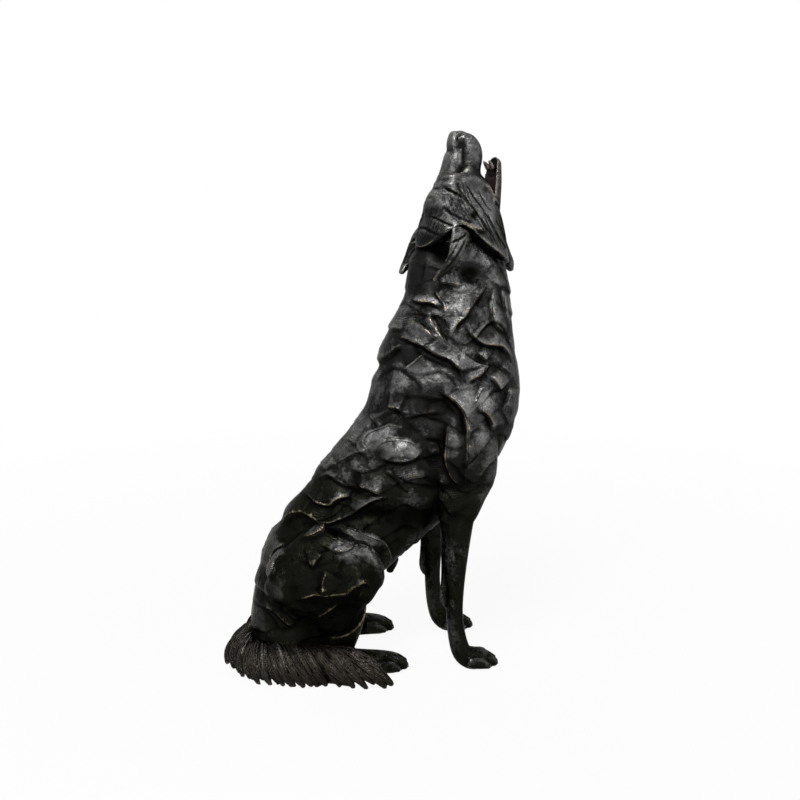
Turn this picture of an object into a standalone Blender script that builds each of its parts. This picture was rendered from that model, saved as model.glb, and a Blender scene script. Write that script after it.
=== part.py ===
"""Howling wolf, seated: one bronze casting.

Metres, +Z up. The wolf faces +X and sits on the floor, Z = 0. The tables are in millimetres.
Its masses are lofted tubes fused into one skin. Creases laid over that skin in side view then raise the
overlapping plates of fur that the sculptor built up, and the whole is cut flat where it sits.
"""
import math

import bmesh
import bpy
import numpy as np
from mathutils import Matrix
from mathutils.bvhtree import BVHTree

MM = 0.001

# Where the parts stand: x, y of each pair of legs, and the head's place on the neck.
HIND_AT = (-60, 38)
FORE_AT = (36, 36)
TAIL_AT = (-88, 6)
HEAD_AT = (46, 0, 300)
HEAD_TURN = 14
# The hind paws lie this far to the left of the middle, and the left foreleg this far back.
HIND_SHIFT = 5
FORE_STAGGER = -3

# Fur plates: how far an edge rises over the plate beneath it, how far that one is cut back under the edge,
# how far each runs out, and how sharp the edge is.
PLATE_RISE = 0.85
PLATE_DROP = 0.85
PLATE_REACH = 15
DROP_REACH = 7
EDGE = 1.3
FAR_SIDE_DRIFT = 4
GROOVE_WIDTH = 1.6
# Between those edges, smaller plates cover the coat: their size, their tilt and the creases round them.
TILE_SIZE = 17
TILE_SHAPE = (1.6, 1.4, 0.95)
TILE_TILT = 0.9
TILE_WAVE = 0.3
TILE_CREASE = 0.2
TILE_CREASE_WIDTH = 1.5
# Where they fade out, in side view: x, z, half length, half height, share.
TILE_CALM = [(40, 112, 24, 34, 1), (-50, 88, 26, 20, 0.5), (62, 165, 14, 40, 0.4)]
# The edge of the head's hair stands over the neck by this much.
RIM_RISE = 0.9
RIM_DROP = 18
# Locks of hair laid along the tail: how many, how far each runs on, and its thickness at the middle.
TAIL_LOCKS = 27
TAIL_LOCK_RUN = (7, 30)
TAIL_LOCK_SIZE = 3.4
LOCK_SIDES = 12

# The skin: spacing of its points, passes of smoothing, the count of triangles left, and the floor's cut.
SKIN_STEP = 1.1
MASS_PASSES = 30
HEAD_PASSES = 12
SKIN_PASSES = 1
TRIANGLES = 11000
FLOOR_SIZE = 600
# A point this far from a mass belongs to something else.
SURFACE_REACH = 2.5

# Lofts are stations: x, y, z of the centre, half depth fore and aft, half width side to side.
# A limb's x and y are measured from where it stands, its z from the floor.
TORSO = [
    (-76, 0, -4, 36, 34),
    (-75, 0, 20, 42, 38),
    (-72, 0, 48, 42, 40),
    (-62, 0, 78, 43, 40),
    (-38, 0, 106, 45, 36),
    (-11, 0, 136, 49.5, 39),
    (19.5, 0, 170, 54.5, 44),
    (35, 0, 206, 57, 46),
    (38.5, 0, 240, 50, 42),
    (43, 0, 272, 41.5, 36),
]
# The neck runs up into the skull: these are measured from where the head sits.
NECK = [(-2, 0, 0, 38, 29), (-5, 0, 20, 32, 26)]
THIGH = [
    (-32, -12, 62, 18, 12),
    (-20, -5, 70, 32, 19),
    (0, 0, 75, 42, 22),
    (19, 2, 80, 34, 19),
    (31, 2, 85, 20, 12),
]
SHANK = [
    (16, -2, 66, 15, 14),
    (14, -4, 46, 15, 14),
    (7, -6, 24, 15, 13),
    (0, -7, 10, 13, 12),
]
HIND_PAW = [
    (0, -4, 8, 12, 11),
    (22, -2, 7, 10, 10),
    (40, -1, 6, 9, 10),
    (49, -1, 5, 8, 10),
]
SHOULDER = [
    (-6, -12, 208, 34, 16),
    (1, -6, 180, 31, 17),
    (6, -2, 152, 25, 15),
    (2, 0, 122, 15, 12),
]
FORELEG = [
    (2, -1, 140, 17, 14),
    (1, 0, 117, 13, 11.5),
    (0, 1, 88, 9.5, 9),
    (0, 1, 62, 6.8, 7.2),
    (0, 1, 42, 6.3, 6.8),
    (2, 1, 25, 6.8, 7.4),
    (6, 1, 12, 7.5, 8.5),
    (13, 1, 7, 8.5, 9.5),
    (21, 1, 6.5, 8, 9.5),
]
# The feathering behind a forearm, which ends in a notch.
FEATHER = [
    (-5, -1, 128, 6, 3),
    (-5, 0, 100, 6, 2.8),
    (-5, 0, 75, 5.5, 2.4),
    (-6, 0, 57, 5.5, 2.2),
    (-5, 0, 50, 3.5, 1.8),
]
# A paw's toes: x and y of each from the paw's end, and how far it is across.
TOES = [(-3, -8.5, 4.8), (2, -3.2, 5.6), (2, 3.2, 5.6), (-3, 8.5, 4.8)]
FORE_TOES_AT = (21.5, 1)
HIND_TOES_AT = (49, -1)
TOE_HEIGHT = 6
TOE_WIDTH = 0.8
# The tail lies on the floor, round the right haunch: x and y from its root.
TAIL = [
    (0, 0, 36, 14, 14),
    (-17, -1, 22, 13, 13),
    (-29, -7, 11, 12, 12),
    (-24, -25, 10, 12, 12),
    (-10, -36, 11, 13, 12),
    (8, -42, 11, 13, 13),
    (28, -47, 11, 13, 14),
    (45, -50, 10, 12, 13),
    (57, -52, 7, 7, 9),
]
# A lock on the tail, root to tip: share of its run, share of the tail's half width out, share of its half
# height up, and share of the lock's own size.
TAIL_LOCK = [(0, -0.4, 0.7, 0.6), (0.3, 0.2, 0.75, 1.1), (0.6, 0.6, 0.3, 1.2), (0.85, 0.8, -0.2, 0.9),
             (1.1, 0.86, -0.7, 0.35)]
# The first and the last lock's place along the tail.
TAIL_LOCKS_FROM = 0.12
TAIL_LOCKS_TO = 0.8
# Locks reach their full run at this share of the tail's length.
TAIL_LOCKS_LONG = 0.7
TAIL_TIPS = [
    [(36, -52, 9, 8, 8), (54, -57, 7, 6, 7), (69, -62, 3, 2.5, 3)],
    [(12, -52, 8, 8, 8), (30, -59, 6, 6, 6), (43, -66, 3, 2.5, 3)],
]
BELLY_TUFT = [(-8, 0, 92, 9, 7), (-7, 0, 76, 6, 5), (-8, 0, 67, 3, 2.5)]
# The head, from where it sits on the neck: its muzzle points up.
SKULL = [
    (0, 0, -4, 37, 31),
    (0, 0, 10, 35, 34),
    (0, 0, 24, 33, 32),
    (0, 0, 38, 30, 28),
    (0, 0, 50, 26, 22),
    (1, 0, 60, 20, 17),
]
BROW = [(-14, 8, 40, 11, 8), (-13, 9, 50, 9, 7), (-9, 9, 60, 5, 4.5)]
MUZZLE = [
    (-3, 0, 42, 25, 22),
    (-1, 0, 54, 21, 18),
    (-0.5, 0, 65, 15, 14),
    (0, 0, 75, 13.5, 12.5),
    (1.4, 0, 84, 13.5, 12),
    (0.8, 0, 90.5, 11, 10.5),
    (-2.5, 0, 95, 7, 8.5),
]
NOSE = [(-7, 0, 84, 4.5, 7), (-7.5, 0, 92, 4.2, 7), (-7, 0, 98, 3, 5.5)]
JAW = [
    (12, 0, 30, 16, 18),
    (18.5, 0, 46, 12, 14),
    (21.5, 0, 58, 10, 11),
    (23, 0, 68, 9, 9.5),
    (25, 0, 77, 7, 7),
]
JAW_TROUGH = 0.25
CANINE = [(23.5, 3.5, 74, 2.2, 2), (21.5, 4, 77, 1.6, 1.4), (20, 4.3, 79, 0.8, 0.7)]
BEARD = [(28, 0, 18, 8, 14), (34, 0, 10, 6, 11), (39, 0, 4, 4.5, 8), (42, 0, -1, 2, 4)]
EAR = [
    (-14, 28, 29, 3, 7.5),
    (-17, 31.5, 22, 2.8, 7),
    (-22.5, 34.5, 12, 2.4, 5.2),
    (-29, 34.5, 3, 1.9, 3.6),
    (-36, 31, -4.5, 1.3, 1.3),
]
# The edge of the head's hair over the neck, in side view, from nape to beard.
RIM = [(-42, 17), (-35, 20), (-30, 23.5), (-25, 27.5), (-20, 31), (-14, 33), (-8, 32), (-3, 27), (5, 20),
       (13, 15), (24, 9), (37, 3), (46, -1)]

# Plate edges in side view: the height of the step, then x, z points with the upper plate on their left.
NECK_PLATES = [
    (3, [(6, 280), (12, 278), (17, 278), (23, 276), (27, 275)]),
    (2, [(21, 288), (24, 282), (27, 277), (28, 268)]),
    (3, [(31, 252), (33, 258), (36, 264), (41, 268), (47, 277), (55, 286), (59, 293)]),
    (3, [(42, 265), (46, 256), (54, 249), (63, 247), (71, 245), (77, 238), (80, 232)]),
    (3, [(-8, 253), (1, 252), (8, 249), (13, 247), (20, 242), (28, 239), (33, 235), (37, 230), (40, 221)]),
    (3, [(40, 221), (46, 224), (53, 228), (57, 232), (58, 237)]),
    (2, [(50, 243), (54, 239), (58, 236)]),
    (1.5, [(-8, 255), (-4, 258), (0, 257)]),
    (2.5, [(22, 253), (18, 256), (14, 260), (9, 263), (4, 266)]),
    (3, [(29, 249), (25, 254), (21, 261), (18, 266), (16, 272)]),
    (2, [(66, 289), (64, 282), (62, 274), (63, 265), (67, 259), (77, 254)]),
    (1.5, [(72, 289), (73, 285), (74, 269), (76, 260)]),
    (1.5, [(23, 293), (29, 292), (40, 290)]),
]
CHEST_PLATES = [
    (2, [(13, 243), (9, 240), (4, 235), (-3, 229)]),
    (2.5, [(-17, 228), (-14, 234), (-10, 239), (-5, 245), (0, 246)]),
    (1.5, [(57, 219), (52, 216), (49, 210), (46, 206)]),
    (2.5, [(60, 226), (65, 219), (69, 213)]),
    (3, [(47, 204), (54, 200), (60, 193), (63, 183)]),
    (3.5, [(20, 217), (27, 213), (35, 206), (40, 198), (41, 187), (41, 175), (40, 160), (40, 145)]),
    (4, [(29, 194), (27, 185), (26, 175), (26, 166), (29, 156), (34, 149), (40, 145)]),
    (1.5, [(77, 216), (75, 207), (71, 202)]),
]
RIB_PLATES = [
    (2.5, [(-14, 203), (-7, 202), (-3, 201)]),
    (1.5, [(-6, 194), (1, 197), (10, 200), (20, 201), (26, 198)]),
    (3, [(-2, 185), (-6, 189), (-12, 190), (-17, 188), (-23, 185), (-28, 182), (-31, 177), (-29, 172),
         (-25, 171)]),
    (2.5, [(6, 175), (1, 179), (-4, 180), (-11, 180), (-18, 178), (-23, 173)]),
    (2.5, [(-22, 168), (-15, 165), (-7, 164), (3, 166), (10, 174)]),
    (2, [(22, 169), (21, 175), (17, 178), (12, 177)]),
    (1.5, [(-51, 158), (-45, 162), (-38, 167), (-27, 171)]),
    (3, [(-38, 145), (-31, 144), (-25, 142), (-19, 139)]),
    (1.5, [(-19, 157), (-16, 156), (-11, 153), (-6, 148), (-6, 143)]),
    (1.5, [(-4, 148), (0, 152), (6, 153), (16, 154)]),
    (1.5, [(-25, 195), (-23, 192), (-20, 187)]),
    (2, [(-66, 143), (-59, 148), (-55, 150), (-50, 147), (-45, 145), (-35, 145)]),
    (1.5, [(-59, 151), (-54, 156), (-49, 159)]),
    (2, [(22, 143), (26, 133), (32, 123)]),
    (1.5, [(25, 122), (19, 114), (13, 107)]),
]
HAUNCH_PLATES = [
    (3.5, [(-74, 134), (-69, 133), (-65, 130), (-56, 130), (-51, 134), (-45, 137), (-38, 138)]),
    (2.5, [(-92, 110), (-84, 118), (-76, 122), (-69, 120), (-61, 117)]),
    (3.5, [(-87, 104), (-78, 110), (-70, 113), (-59, 117), (-51, 120), (-43, 123), (-36, 128), (-26, 135),
           (-16, 137), (-8, 134)]),
    (3, [(-13, 75), (-11, 84), (-13, 93), (-17, 101), (-27, 107), (-42, 114), (-55, 116)]),
    (4, [(-87, 67), (-79, 70), (-70, 74), (-62, 73), (-50, 73), (-45, 77), (-39, 79), (-34, 79), (-28, 72)]),
    (2.5, [(-72, 50), (-69, 52), (-60, 58), (-55, 63), (-52, 65)]),
    (1.5, [(-62, 91), (-65, 84), (-65, 74)]),
    (1.5, [(-72, 92), (-69, 98), (-64, 103)]),
    (2, [(-59, 106), (-54, 103), (-45, 103), (-41, 108)]),
    (1.5, [(-76, 106), (-74, 99), (-72, 92)]),
    (2.5, [(-104, 76), (-100, 85), (-97, 93), (-89, 102)]),
    (2, [(-108, 53), (-99, 51), (-92, 45), (-84, 40)]),
    (2, [(-94, 59), (-86, 50), (-81, 45)]),
]
BODY_PLATES = NECK_PLATES + CHEST_PLATES + RIB_PLATES + HAUNCH_PLATES
# Hollows, and lumps where the depth is negative: x, z, half length, half height, depth.
BODY_HOLLOWS = [
    (-25, 122, 27, 7, 5.5),
    (24, 311, 9, 11, 12),
    (48, 298, 8, 6, 4),
    (-46, 53, 31, 14, 8),
    (-95, 72, 6, 11, -2.5),
    (25, 150, 4, 4, -2.5),
    (17, 173, 4, 4, -2),
    (33, 176, 4, 16, -1.5),
]
# The head's own plates, grooves and hollows, from where it sits.
HEAD_PLATES = [
    (0.6, [(-2, 71), (-8, 69), (-14, 67), (-19, 66)]),
    (1.5, [(-24, 38), (-21, 34), (-12, 33), (-7, 31)]),
    (1.5, [(12, 63), (17, 56), (18, 47)]),
]
HEAD_GROOVES = [
    (2.4, [(-8, 91), (-7, 95), (-3, 98), (0, 99)]),
    (2.2, [(-19, 52), (-16, 50), (-12, 49), (-8, 50)]),
    (2.2, [(-11, 64), (-9, 56), (-5, 48), (2, 39)]),
    (2.2, [(-4, 62), (-1, 54), (4, 46), (9, 38), (14, 30)]),
    (2, [(4, 58), (8, 50), (13, 42)]),
    (2.2, [(-23, 47), (-19, 42), (-12, 37), (-4, 34)]),
    (2, [(-29, 40), (-25, 36), (-18, 32)]),
    (2, [(-33, 33), (-30, 28), (-24, 24)]),
    (2, [(-3, 46), (1, 38), (6, 31), (10, 25)]),
    (2, [(15, 38), (21, 30), (28, 22), (34, 14)]),
    (2, [(12, 30), (19, 22), (26, 15)]),
    (2, [(-27, 50), (-24, 56), (-20, 60)]),
]
HEAD_HOLLOWS = [
    (-4, 84, 3.5, 10, 2.8),
    (-7, 73, 5, 4, 2),
    (6, 79, 5, 12, -1.2),
    (16, 55, 3, 8, -1.5),
    (-13, 57, 5, 5, -2),
    (-3, 40, 3, 3, 2),
]


def spline(stations, spans=4):
    """Catmull-Rom curve through the stations, all their numbers at once."""
    p = np.array(stations, float)
    p = np.vstack([2 * p[0] - p[1], p, 2 * p[-1] - p[-2]])
    out = []
    for a, b, c, d in zip(p, p[1:], p[2:], p[3:]):
        for t in np.arange(spans) / spans:
            out.append(b + 0.5 * ((c - a) * t + (2 * a - 5 * b + 4 * c - d) * t ** 2
                                  + (3 * b - a - 3 * c + d) * t ** 3))
    out.append(p[-2])
    return np.array(out)


def at(place, stations):
    """Stations moved to where a part stands."""
    shift = np.zeros(len(stations[0]))
    shift[:len(place)] = place
    return [tuple(np.array(s, float) + shift) for s in stations]


def loft(stations, across=(0, 1, 0), sides=32, square=2.0, trough=None):
    """Points and faces of a closed tube with domed ends. A trough hollows its rear."""
    s = spline(stations)
    centres, radii = s[:, :3], np.maximum(s[:, 3:5], 0.3)
    tangents = np.gradient(centres, axis=0)
    tangents /= np.linalg.norm(tangents, axis=1)[:, None]
    dome = np.radians([75, 50, 25])
    ends = {}
    for end, sign in ((0, -1), (-1, 1)):
        reach = 0.8 * radii[end].min()
        ends[end] = [(centres[end] + sign * tangents[end] * reach * math.sin(a), tangents[end],
                      radii[end] * math.cos(a)) for a in dome]
    rings = ends[0] + list(zip(centres, tangents, radii)) + ends[-1][::-1]
    angle = np.arange(sides) * 2 * math.pi / sides
    c, n = np.cos(angle), np.sin(angle)
    c, n = np.sign(c) * abs(c) ** (2 / square), np.sign(n) * abs(n) ** (2 / square)
    if trough is not None:
        c = np.where(c < 0, -trough * c, c)
    points, faces = [], []
    for centre, t, (depth, width) in rings:
        side = np.cross((0, 0, 1), t) if across is None else np.array(across, float)
        side = side - t * (side @ t)
        side /= np.linalg.norm(side)
        front = np.cross(side, t)
        points += list(centre + (depth * c)[:, None] * front + (width * n)[:, None] * side)
    for r in range(len(rings) - 1):
        for k in range(sides):
            m = (k + 1) % sides
            faces.append((r * sides + k, (r + 1) * sides + k, (r + 1) * sides + m, r * sides + m))
    faces.append(tuple(range(sides)))
    last = (len(rings) - 1) * sides
    faces.append(tuple(last + k for k in reversed(range(sides))))
    return np.array(points), faces


def pair(stations, far=(0, 0, 0), both=(0, 0, 0), **how):
    """A part on each side. The left one is moved by far, and both of them by both."""
    points, faces = loft(stations, **how)
    left = points + np.array(far) + both
    right = points * (1, -1, 1) + both
    return [(left, faces), (right, [f[::-1] for f in faces])]


def toes(stand, paw, **how):
    """Four toes for each paw of a pair."""
    made = []
    for x, y, size in TOES:
        spot = (stand[0] + paw[0] + x, stand[1] + paw[1] + y)
        half = size * TOE_WIDTH
        toe = [(-size, 0, TOE_HEIGHT, size, half), (size, 0, TOE_HEIGHT - 1, size, half)]
        made += pair(at(spot, toe), **how)
    return made


def tail_lock_paths():
    """Locks of hair that run from the tail's top out over its side, and end in points near the floor."""
    path = spline(at(TAIL_AT, TAIL), 12)
    along = np.gradient(path[:, :3], axis=0)
    made = []
    for k in range(TAIL_LOCKS):
        chance = scatter(np.array([[k, 0, 0]] * 4) + np.eye(4, 3), 7)
        step = k + 0.9 * (chance[0] - 0.5)
        share = TAIL_LOCKS_FROM + (TAIL_LOCKS_TO - TAIL_LOCKS_FROM) * step / (TAIL_LOCKS - 1)
        spot = path[int(share * (len(path) - 1))]
        ahead = along[int(share * (len(path) - 1))] * (1, 1, 0)
        ahead /= np.linalg.norm(ahead)
        out = np.array([ahead[1], -ahead[0], 0])
        run = np.interp(share, (0, TAIL_LOCKS_LONG), TAIL_LOCK_RUN) * (0.75 + 0.5 * chance[1])
        size = TAIL_LOCK_SIZE * (0.7 + 0.6 * chance[2])
        high = 1 + 0.5 * (chance[3] - 0.5)
        stations = []
        for forward, aside, up, thick in TAIL_LOCK:
            centre = spot[:3] + ahead * forward * run + out * aside * spot[4]
            stations.append((*centre[:2], centre[2] + up * high * spot[3], size * thick, size * thick))
        made.append(stations)
    return made


def mesh_object(name, pieces):
    points, faces, base = [], [], 0
    for p, f in pieces:
        points += [tuple(v) for v in p * MM]
        faces += [tuple(base + i for i in face) for face in f]
        base += len(p)
    mesh = bpy.data.meshes.new(name)
    mesh.from_pydata(points, [], faces)
    made = bpy.data.objects.new(name, mesh)
    bpy.context.scene.collection.objects.link(made)
    return made


def settle(made):
    """Applies an object's modifiers."""
    bpy.context.view_layer.update()
    mesh = bpy.data.meshes.new_from_object(made.evaluated_get(bpy.context.evaluated_depsgraph_get()))
    made.modifiers.clear()
    made.data = mesh
    return made


def fused(made, passes):
    """One skin round all of an object's pieces, smoothed."""
    skin = made.modifiers.new("skin", "REMESH")
    skin.mode = "VOXEL"
    skin.voxel_size = SKIN_STEP * MM
    soft = made.modifiers.new("soft", "SMOOTH")
    soft.factor = 0.5
    soft.iterations = passes
    return settle(made)


def coordinates(mesh):
    out = np.empty(len(mesh.vertices) * 3)
    mesh.vertices.foreach_get("co", out)
    return out.reshape(-1, 3) / MM


def normals(mesh):
    out = np.empty(len(mesh.vertices) * 3)
    mesh.vertices.foreach_get("normal", out)
    return out.reshape(-1, 3)


def put_coordinates(mesh, points):
    mesh.vertices.foreach_set("co", (points * MM).ravel())
    mesh.update()


def smooth_step(t):
    t = np.clip(t, 0, 1)
    return t * t * (3 - 2 * t)


def side_view(points):
    """x and z of each point. On the left side they drift, so that the two sides aren't mirror images."""
    x, z = points[:, 0], points[:, 2]
    drift = FAR_SIDE_DRIFT * smooth_step(points[:, 1] / 20)
    return np.column_stack([x + drift * np.sin(z / 13 + 1) + drift * 0.6 * np.sin(z / 29),
                            z + drift * np.sin(x / 11) + drift * 0.6 * np.sin(x / 31 + 2)])


def to_line(view, line):
    """Signed distance to a line, positive on its left, and how far along it, for each point near it."""
    line = np.array(line, float)
    lengths = np.linalg.norm(np.diff(line, axis=0), axis=1)
    starts = np.append(0, np.cumsum(lengths))
    best = np.full(len(view), 1e9)
    signed = np.full(len(view), 1e9)
    share = np.zeros(len(view))
    for a, b, length, start in zip(line, line[1:], lengths, starts):
        d = (b - a) / length
        rel = view - a
        t = np.clip(rel @ d, 0, length)
        away = rel - t[:, None] * d
        dist = np.hypot(away[:, 0], away[:, 1])
        side = np.where(d[0] * rel[:, 1] - d[1] * rel[:, 0] >= 0, 1.0, -1.0)
        near = dist < best
        best = np.where(near, dist, best)
        signed = np.where(near, dist * side, signed)
        share = np.where(near, (start + t) / starts[-1], share)
    return signed, share


def close_to(view, line, reach):
    low, high = np.min(line, axis=0) - reach, np.max(line, axis=0) + reach
    return np.flatnonzero(((view > low) & (view < high)).all(axis=1))


def fine_line(line):
    """A line's points made a smooth curve."""
    return spline(line, 3)


def plates(view, lines):
    """How far the plates' edges lift each point."""
    lift = np.zeros(len(view))
    for height, line in lines:
        curve = fine_line(line)
        near = close_to(view, curve, 3 * PLATE_REACH)
        d, share = to_line(view[near], curve)
        fade = smooth_step(share / 0.25) * smooth_step((1 - share) / 0.25)
        over = PLATE_RISE * np.exp(-np.maximum(d, 0) / PLATE_REACH)
        under = -PLATE_DROP * np.exp(np.minimum(d, 0) / DROP_REACH)
        lift[near] += height * fade * (under + (over - under) * smooth_step(d / EDGE + 0.5))
    return lift


def grooves(view, lines):
    lift = np.zeros(len(view))
    for depth, line in lines:
        curve = fine_line(line)
        near = close_to(view, curve, 4 * GROOVE_WIDTH)
        d, share = to_line(view[near], curve)
        fade = smooth_step(share / 0.2) * smooth_step((1 - share) / 0.2)
        lift[near] -= depth * fade * np.exp(-(d / GROOVE_WIDTH) ** 2)
    return lift


def hollows(view, rows):
    lift = np.zeros(len(view))
    for x, z, length, height, depth in rows:
        r2 = ((view[:, 0] - x) / length) ** 2 + ((view[:, 1] - z) / height) ** 2
        lift -= depth * np.exp(-r2)
    return lift


def scatter(cell, seed):
    """A number from 0 to 1 for each cell of a grid, the same in every run."""
    return np.modf(np.abs(np.sin(cell @ (127.1, 311.7, 74.7) + seed) * 43758.5453))[0]


def nearest_tile(points):
    """For each point: its tile's place in the grid, the way to it from the tile's middle, and how near the
    tile's border is."""
    q = points / (TILE_SIZE * np.array(TILE_SHAPE))
    q = q + TILE_WAVE * np.column_stack([np.sin(2.3 * q[:, 2] + q[:, 1]), np.sin(2.1 * q[:, 0]),
                                         np.sin(2.7 * q[:, 0] + 1.3 * q[:, 1]) + 0.5 * np.sin(4.9 * q[:, 0])])
    nearest = np.full(len(q), 9.0)
    second = np.full(len(q), 9.0)
    tile, apart = np.zeros_like(q), np.zeros_like(q)
    for step in np.ndindex(3, 3, 3):
        cell = np.floor(q) + step - 1
        middle = cell + 0.15 + 0.7 * np.column_stack([scatter(cell, n) for n in (1, 2, 3)])
        way = q - middle
        dist = np.linalg.norm(way, axis=1)
        closer = dist < nearest
        second = np.where(closer, nearest, np.minimum(second, dist))
        nearest = np.where(closer, dist, nearest)
        tile = np.where(closer[:, None], cell, tile)
        apart = np.where(closer[:, None], way, apart)
    return tile, apart, (second - nearest) * TILE_SIZE


def tiles(points):
    """Small plates that overlap down the coat: each is tilted so that its lower edge stands over the next."""
    tile, apart, border = nearest_tile(points)
    down = np.clip(0.55 - apart[:, 2] - 0.35 * apart[:, 0], 0, 1.4)
    scoop = down ** 2 - 0.4 + 0.5 * (scatter(tile, 4) - 0.5)
    calm = np.ones(len(points))
    for x, z, length, height, share in TILE_CALM:
        r2 = ((points[:, 0] - x) / length) ** 2 + ((points[:, 2] - z) / height) ** 2
        calm *= 1 - share * np.exp(-r2 ** 2)
    return calm * (TILE_TILT * scoop - TILE_CREASE * np.exp(-border / TILE_CREASE_WIDTH))


def body_relief(points):
    view = side_view(points)
    return plates(view, BODY_PLATES) + hollows(view, BODY_HOLLOWS) + tiles(points)


def head_relief(points):
    view = head_frame(points)[:, [0, 2]]
    return plates(view, HEAD_PLATES) + grooves(view, HEAD_GROOVES) + hollows(view, HEAD_HOLLOWS)


def trim_head(head):
    """Draws the head in below the edge of its hair, then turns it on the neck."""
    points = coordinates(head.data)
    d, _ = to_line(points[:, [0, 2]], fine_line(RIM))
    edge = RIM_RISE * np.exp(-np.maximum(d, 0) / PLATE_REACH)
    lift = np.where(d > 0, edge, -RIM_DROP * smooth_step(-d / EDGE))
    put_coordinates(head.data, in_place(points + normals(head.data) * lift[:, None]))


def surface_of(made):
    """What carve() measures against: a copy of an object's surface."""
    shape = bmesh.new()
    shape.from_mesh(made.data)
    tree = BVHTree.FromBMesh(shape)
    shape.free()
    return tree


def carve(cast, surface, relief):
    """Carves a relief into the stretches of the casting that still lie on one of its masses."""
    points = coordinates(cast.data)
    hits = [surface.find_nearest(p * MM, SURFACE_REACH * MM)[3] for p in points]
    away = np.array([SURFACE_REACH if h is None else h / MM for h in hits])
    own = smooth_step(2 * (1 - away / SURFACE_REACH))
    put_coordinates(cast.data, points + normals(cast.data) * (own * relief(points))[:, None])


def head_turn():
    return np.array(Matrix.Rotation(math.radians(HEAD_TURN), 3, "Z"))


def in_place(points):
    """Points of the head's own frame, turned and set on the neck."""
    return points @ head_turn().T + HEAD_AT


def head_frame(points):
    """The reverse of in_place."""
    return (points - HEAD_AT) @ head_turn()


def head_pieces(pieces):
    return [(in_place(points), faces) for points, faces in pieces]


def body_masses():
    neck = at(HEAD_AT, NECK)
    return [loft(TORSO + neck)] + pair(at(HIND_AT, THIGH)) + pair(at(FORE_AT, SHOULDER))


def head_masses():
    return [loft(SKULL), loft(MUZZLE, square=2.4), loft(NOSE)] + pair(BROW)


def small_pieces():
    aside = (0, HIND_SHIFT, 0)
    back = (FORE_STAGGER, 0, 0)
    made = pair(at(HIND_AT, SHANK), both=aside) + pair(at(HIND_AT, HIND_PAW), both=aside)
    made += toes(HIND_AT, HIND_TOES_AT, both=aside)
    made += pair(at(FORE_AT, FORELEG), far=back) + pair(at(FORE_AT, FEATHER), far=back)
    made += toes(FORE_AT, FORE_TOES_AT, far=back)
    made.append(loft(at(TAIL_AT, TAIL), across=None))
    made += [loft(stations, across=None, sides=LOCK_SIDES) for stations in tail_lock_paths()]
    made += [loft(at(TAIL_AT, tip), across=None) for tip in TAIL_TIPS]
    made.append(loft(BELLY_TUFT))
    ears = pair(EAR, across=(1, 0, -0.5))
    return made + head_pieces([loft(JAW, trough=JAW_TROUGH), loft(BEARD)] + pair(CANINE) + ears)


def joined(name, objects):
    """One object of several, still loose inside."""
    shape = bmesh.new()
    for each in objects:
        shape.from_mesh(each.data)
        bpy.data.objects.remove(each)
    mesh = bpy.data.meshes.new(name)
    shape.to_mesh(mesh)
    shape.free()
    made = bpy.data.objects.new(name, mesh)
    bpy.context.scene.collection.objects.link(made)
    return made


def floor_cutter():
    """A block under the floor."""
    bpy.ops.mesh.primitive_cube_add(size=FLOOR_SIZE * MM, location=(0, 0, -FLOOR_SIZE * MM / 2))
    cutter = bpy.context.object
    cutter.name = "floor_cutter"
    cutter.hide_render = True
    cutter.display_type = "WIRE"
    return cutter


def bronze():
    finish = bpy.data.materials.new("dark_bronze")
    finish.use_nodes = True
    shader = finish.node_tree.nodes["Principled BSDF"]
    shader.inputs["Base Color"].default_value = (0.028, 0.026, 0.022, 1)
    shader.inputs["Metallic"].default_value = 0.85
    shader.inputs["Roughness"].default_value = 0.38
    return finish


def wolf():
    body = fused(mesh_object("body", body_masses()), MASS_PASSES)
    head = fused(mesh_object("head", head_masses()), HEAD_PASSES)
    trim_head(head)
    on_body, on_head = surface_of(body), surface_of(head)
    cast = fused(joined("wolf", [body, head, mesh_object("small", small_pieces())]), SKIN_PASSES)
    carve(cast, on_body, body_relief)
    carve(cast, on_head, head_relief)
    thin = cast.modifiers.new("thin", "DECIMATE")
    thin.ratio = TRIANGLES / (2 * len(cast.data.polygons))
    cut = cast.modifiers.new("floor", "BOOLEAN")
    cut.operation = "DIFFERENCE"
    cutter = floor_cutter()
    cut.object = cutter
    settle(cast)
    bpy.data.objects.remove(cutter)
    points = coordinates(cast.data)
    middle = (points.min(axis=0) + points.max(axis=0)) / 2
    put_coordinates(cast.data, points - (middle[0], middle[1], 0))
    cast.data.materials.append(bronze())
    cast.data.shade_smooth()
    cast.data.set_sharp_from_angle(angle=math.radians(50))
    return cast


def main():
    for old in list(bpy.data.objects):
        bpy.data.objects.remove(old)
    wolf()


main()
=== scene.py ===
"""The howling wolf, dressed: the bronze casting with its carved coat, hair, claws and patina, in a studio.

The tables and lofts are the casting's own, in millimetres. Here the same form is cast finer than the
solid.
"""

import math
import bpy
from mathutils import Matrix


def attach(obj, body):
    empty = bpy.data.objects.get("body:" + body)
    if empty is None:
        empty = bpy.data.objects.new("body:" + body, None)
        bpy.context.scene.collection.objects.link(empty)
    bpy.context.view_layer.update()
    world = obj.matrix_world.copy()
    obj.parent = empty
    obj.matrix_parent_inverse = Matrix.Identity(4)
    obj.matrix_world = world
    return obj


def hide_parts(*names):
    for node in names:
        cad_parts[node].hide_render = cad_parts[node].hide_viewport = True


bl_info = {
    "name": "Howling wolf bronze",
    "version": (1, 0, 0),
    "blender": (4, 5, 0),
    "location": "View3D > Sidebar > Wolf",
    "description": "Builds the surface, hair and patina of a bronze wolf, and the studio round it",
    "category": "Object",
}

import bmesh
import bpy
import numpy as np
from mathutils import Matrix, Vector, noise
from mathutils.bvhtree import BVHTree

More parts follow.
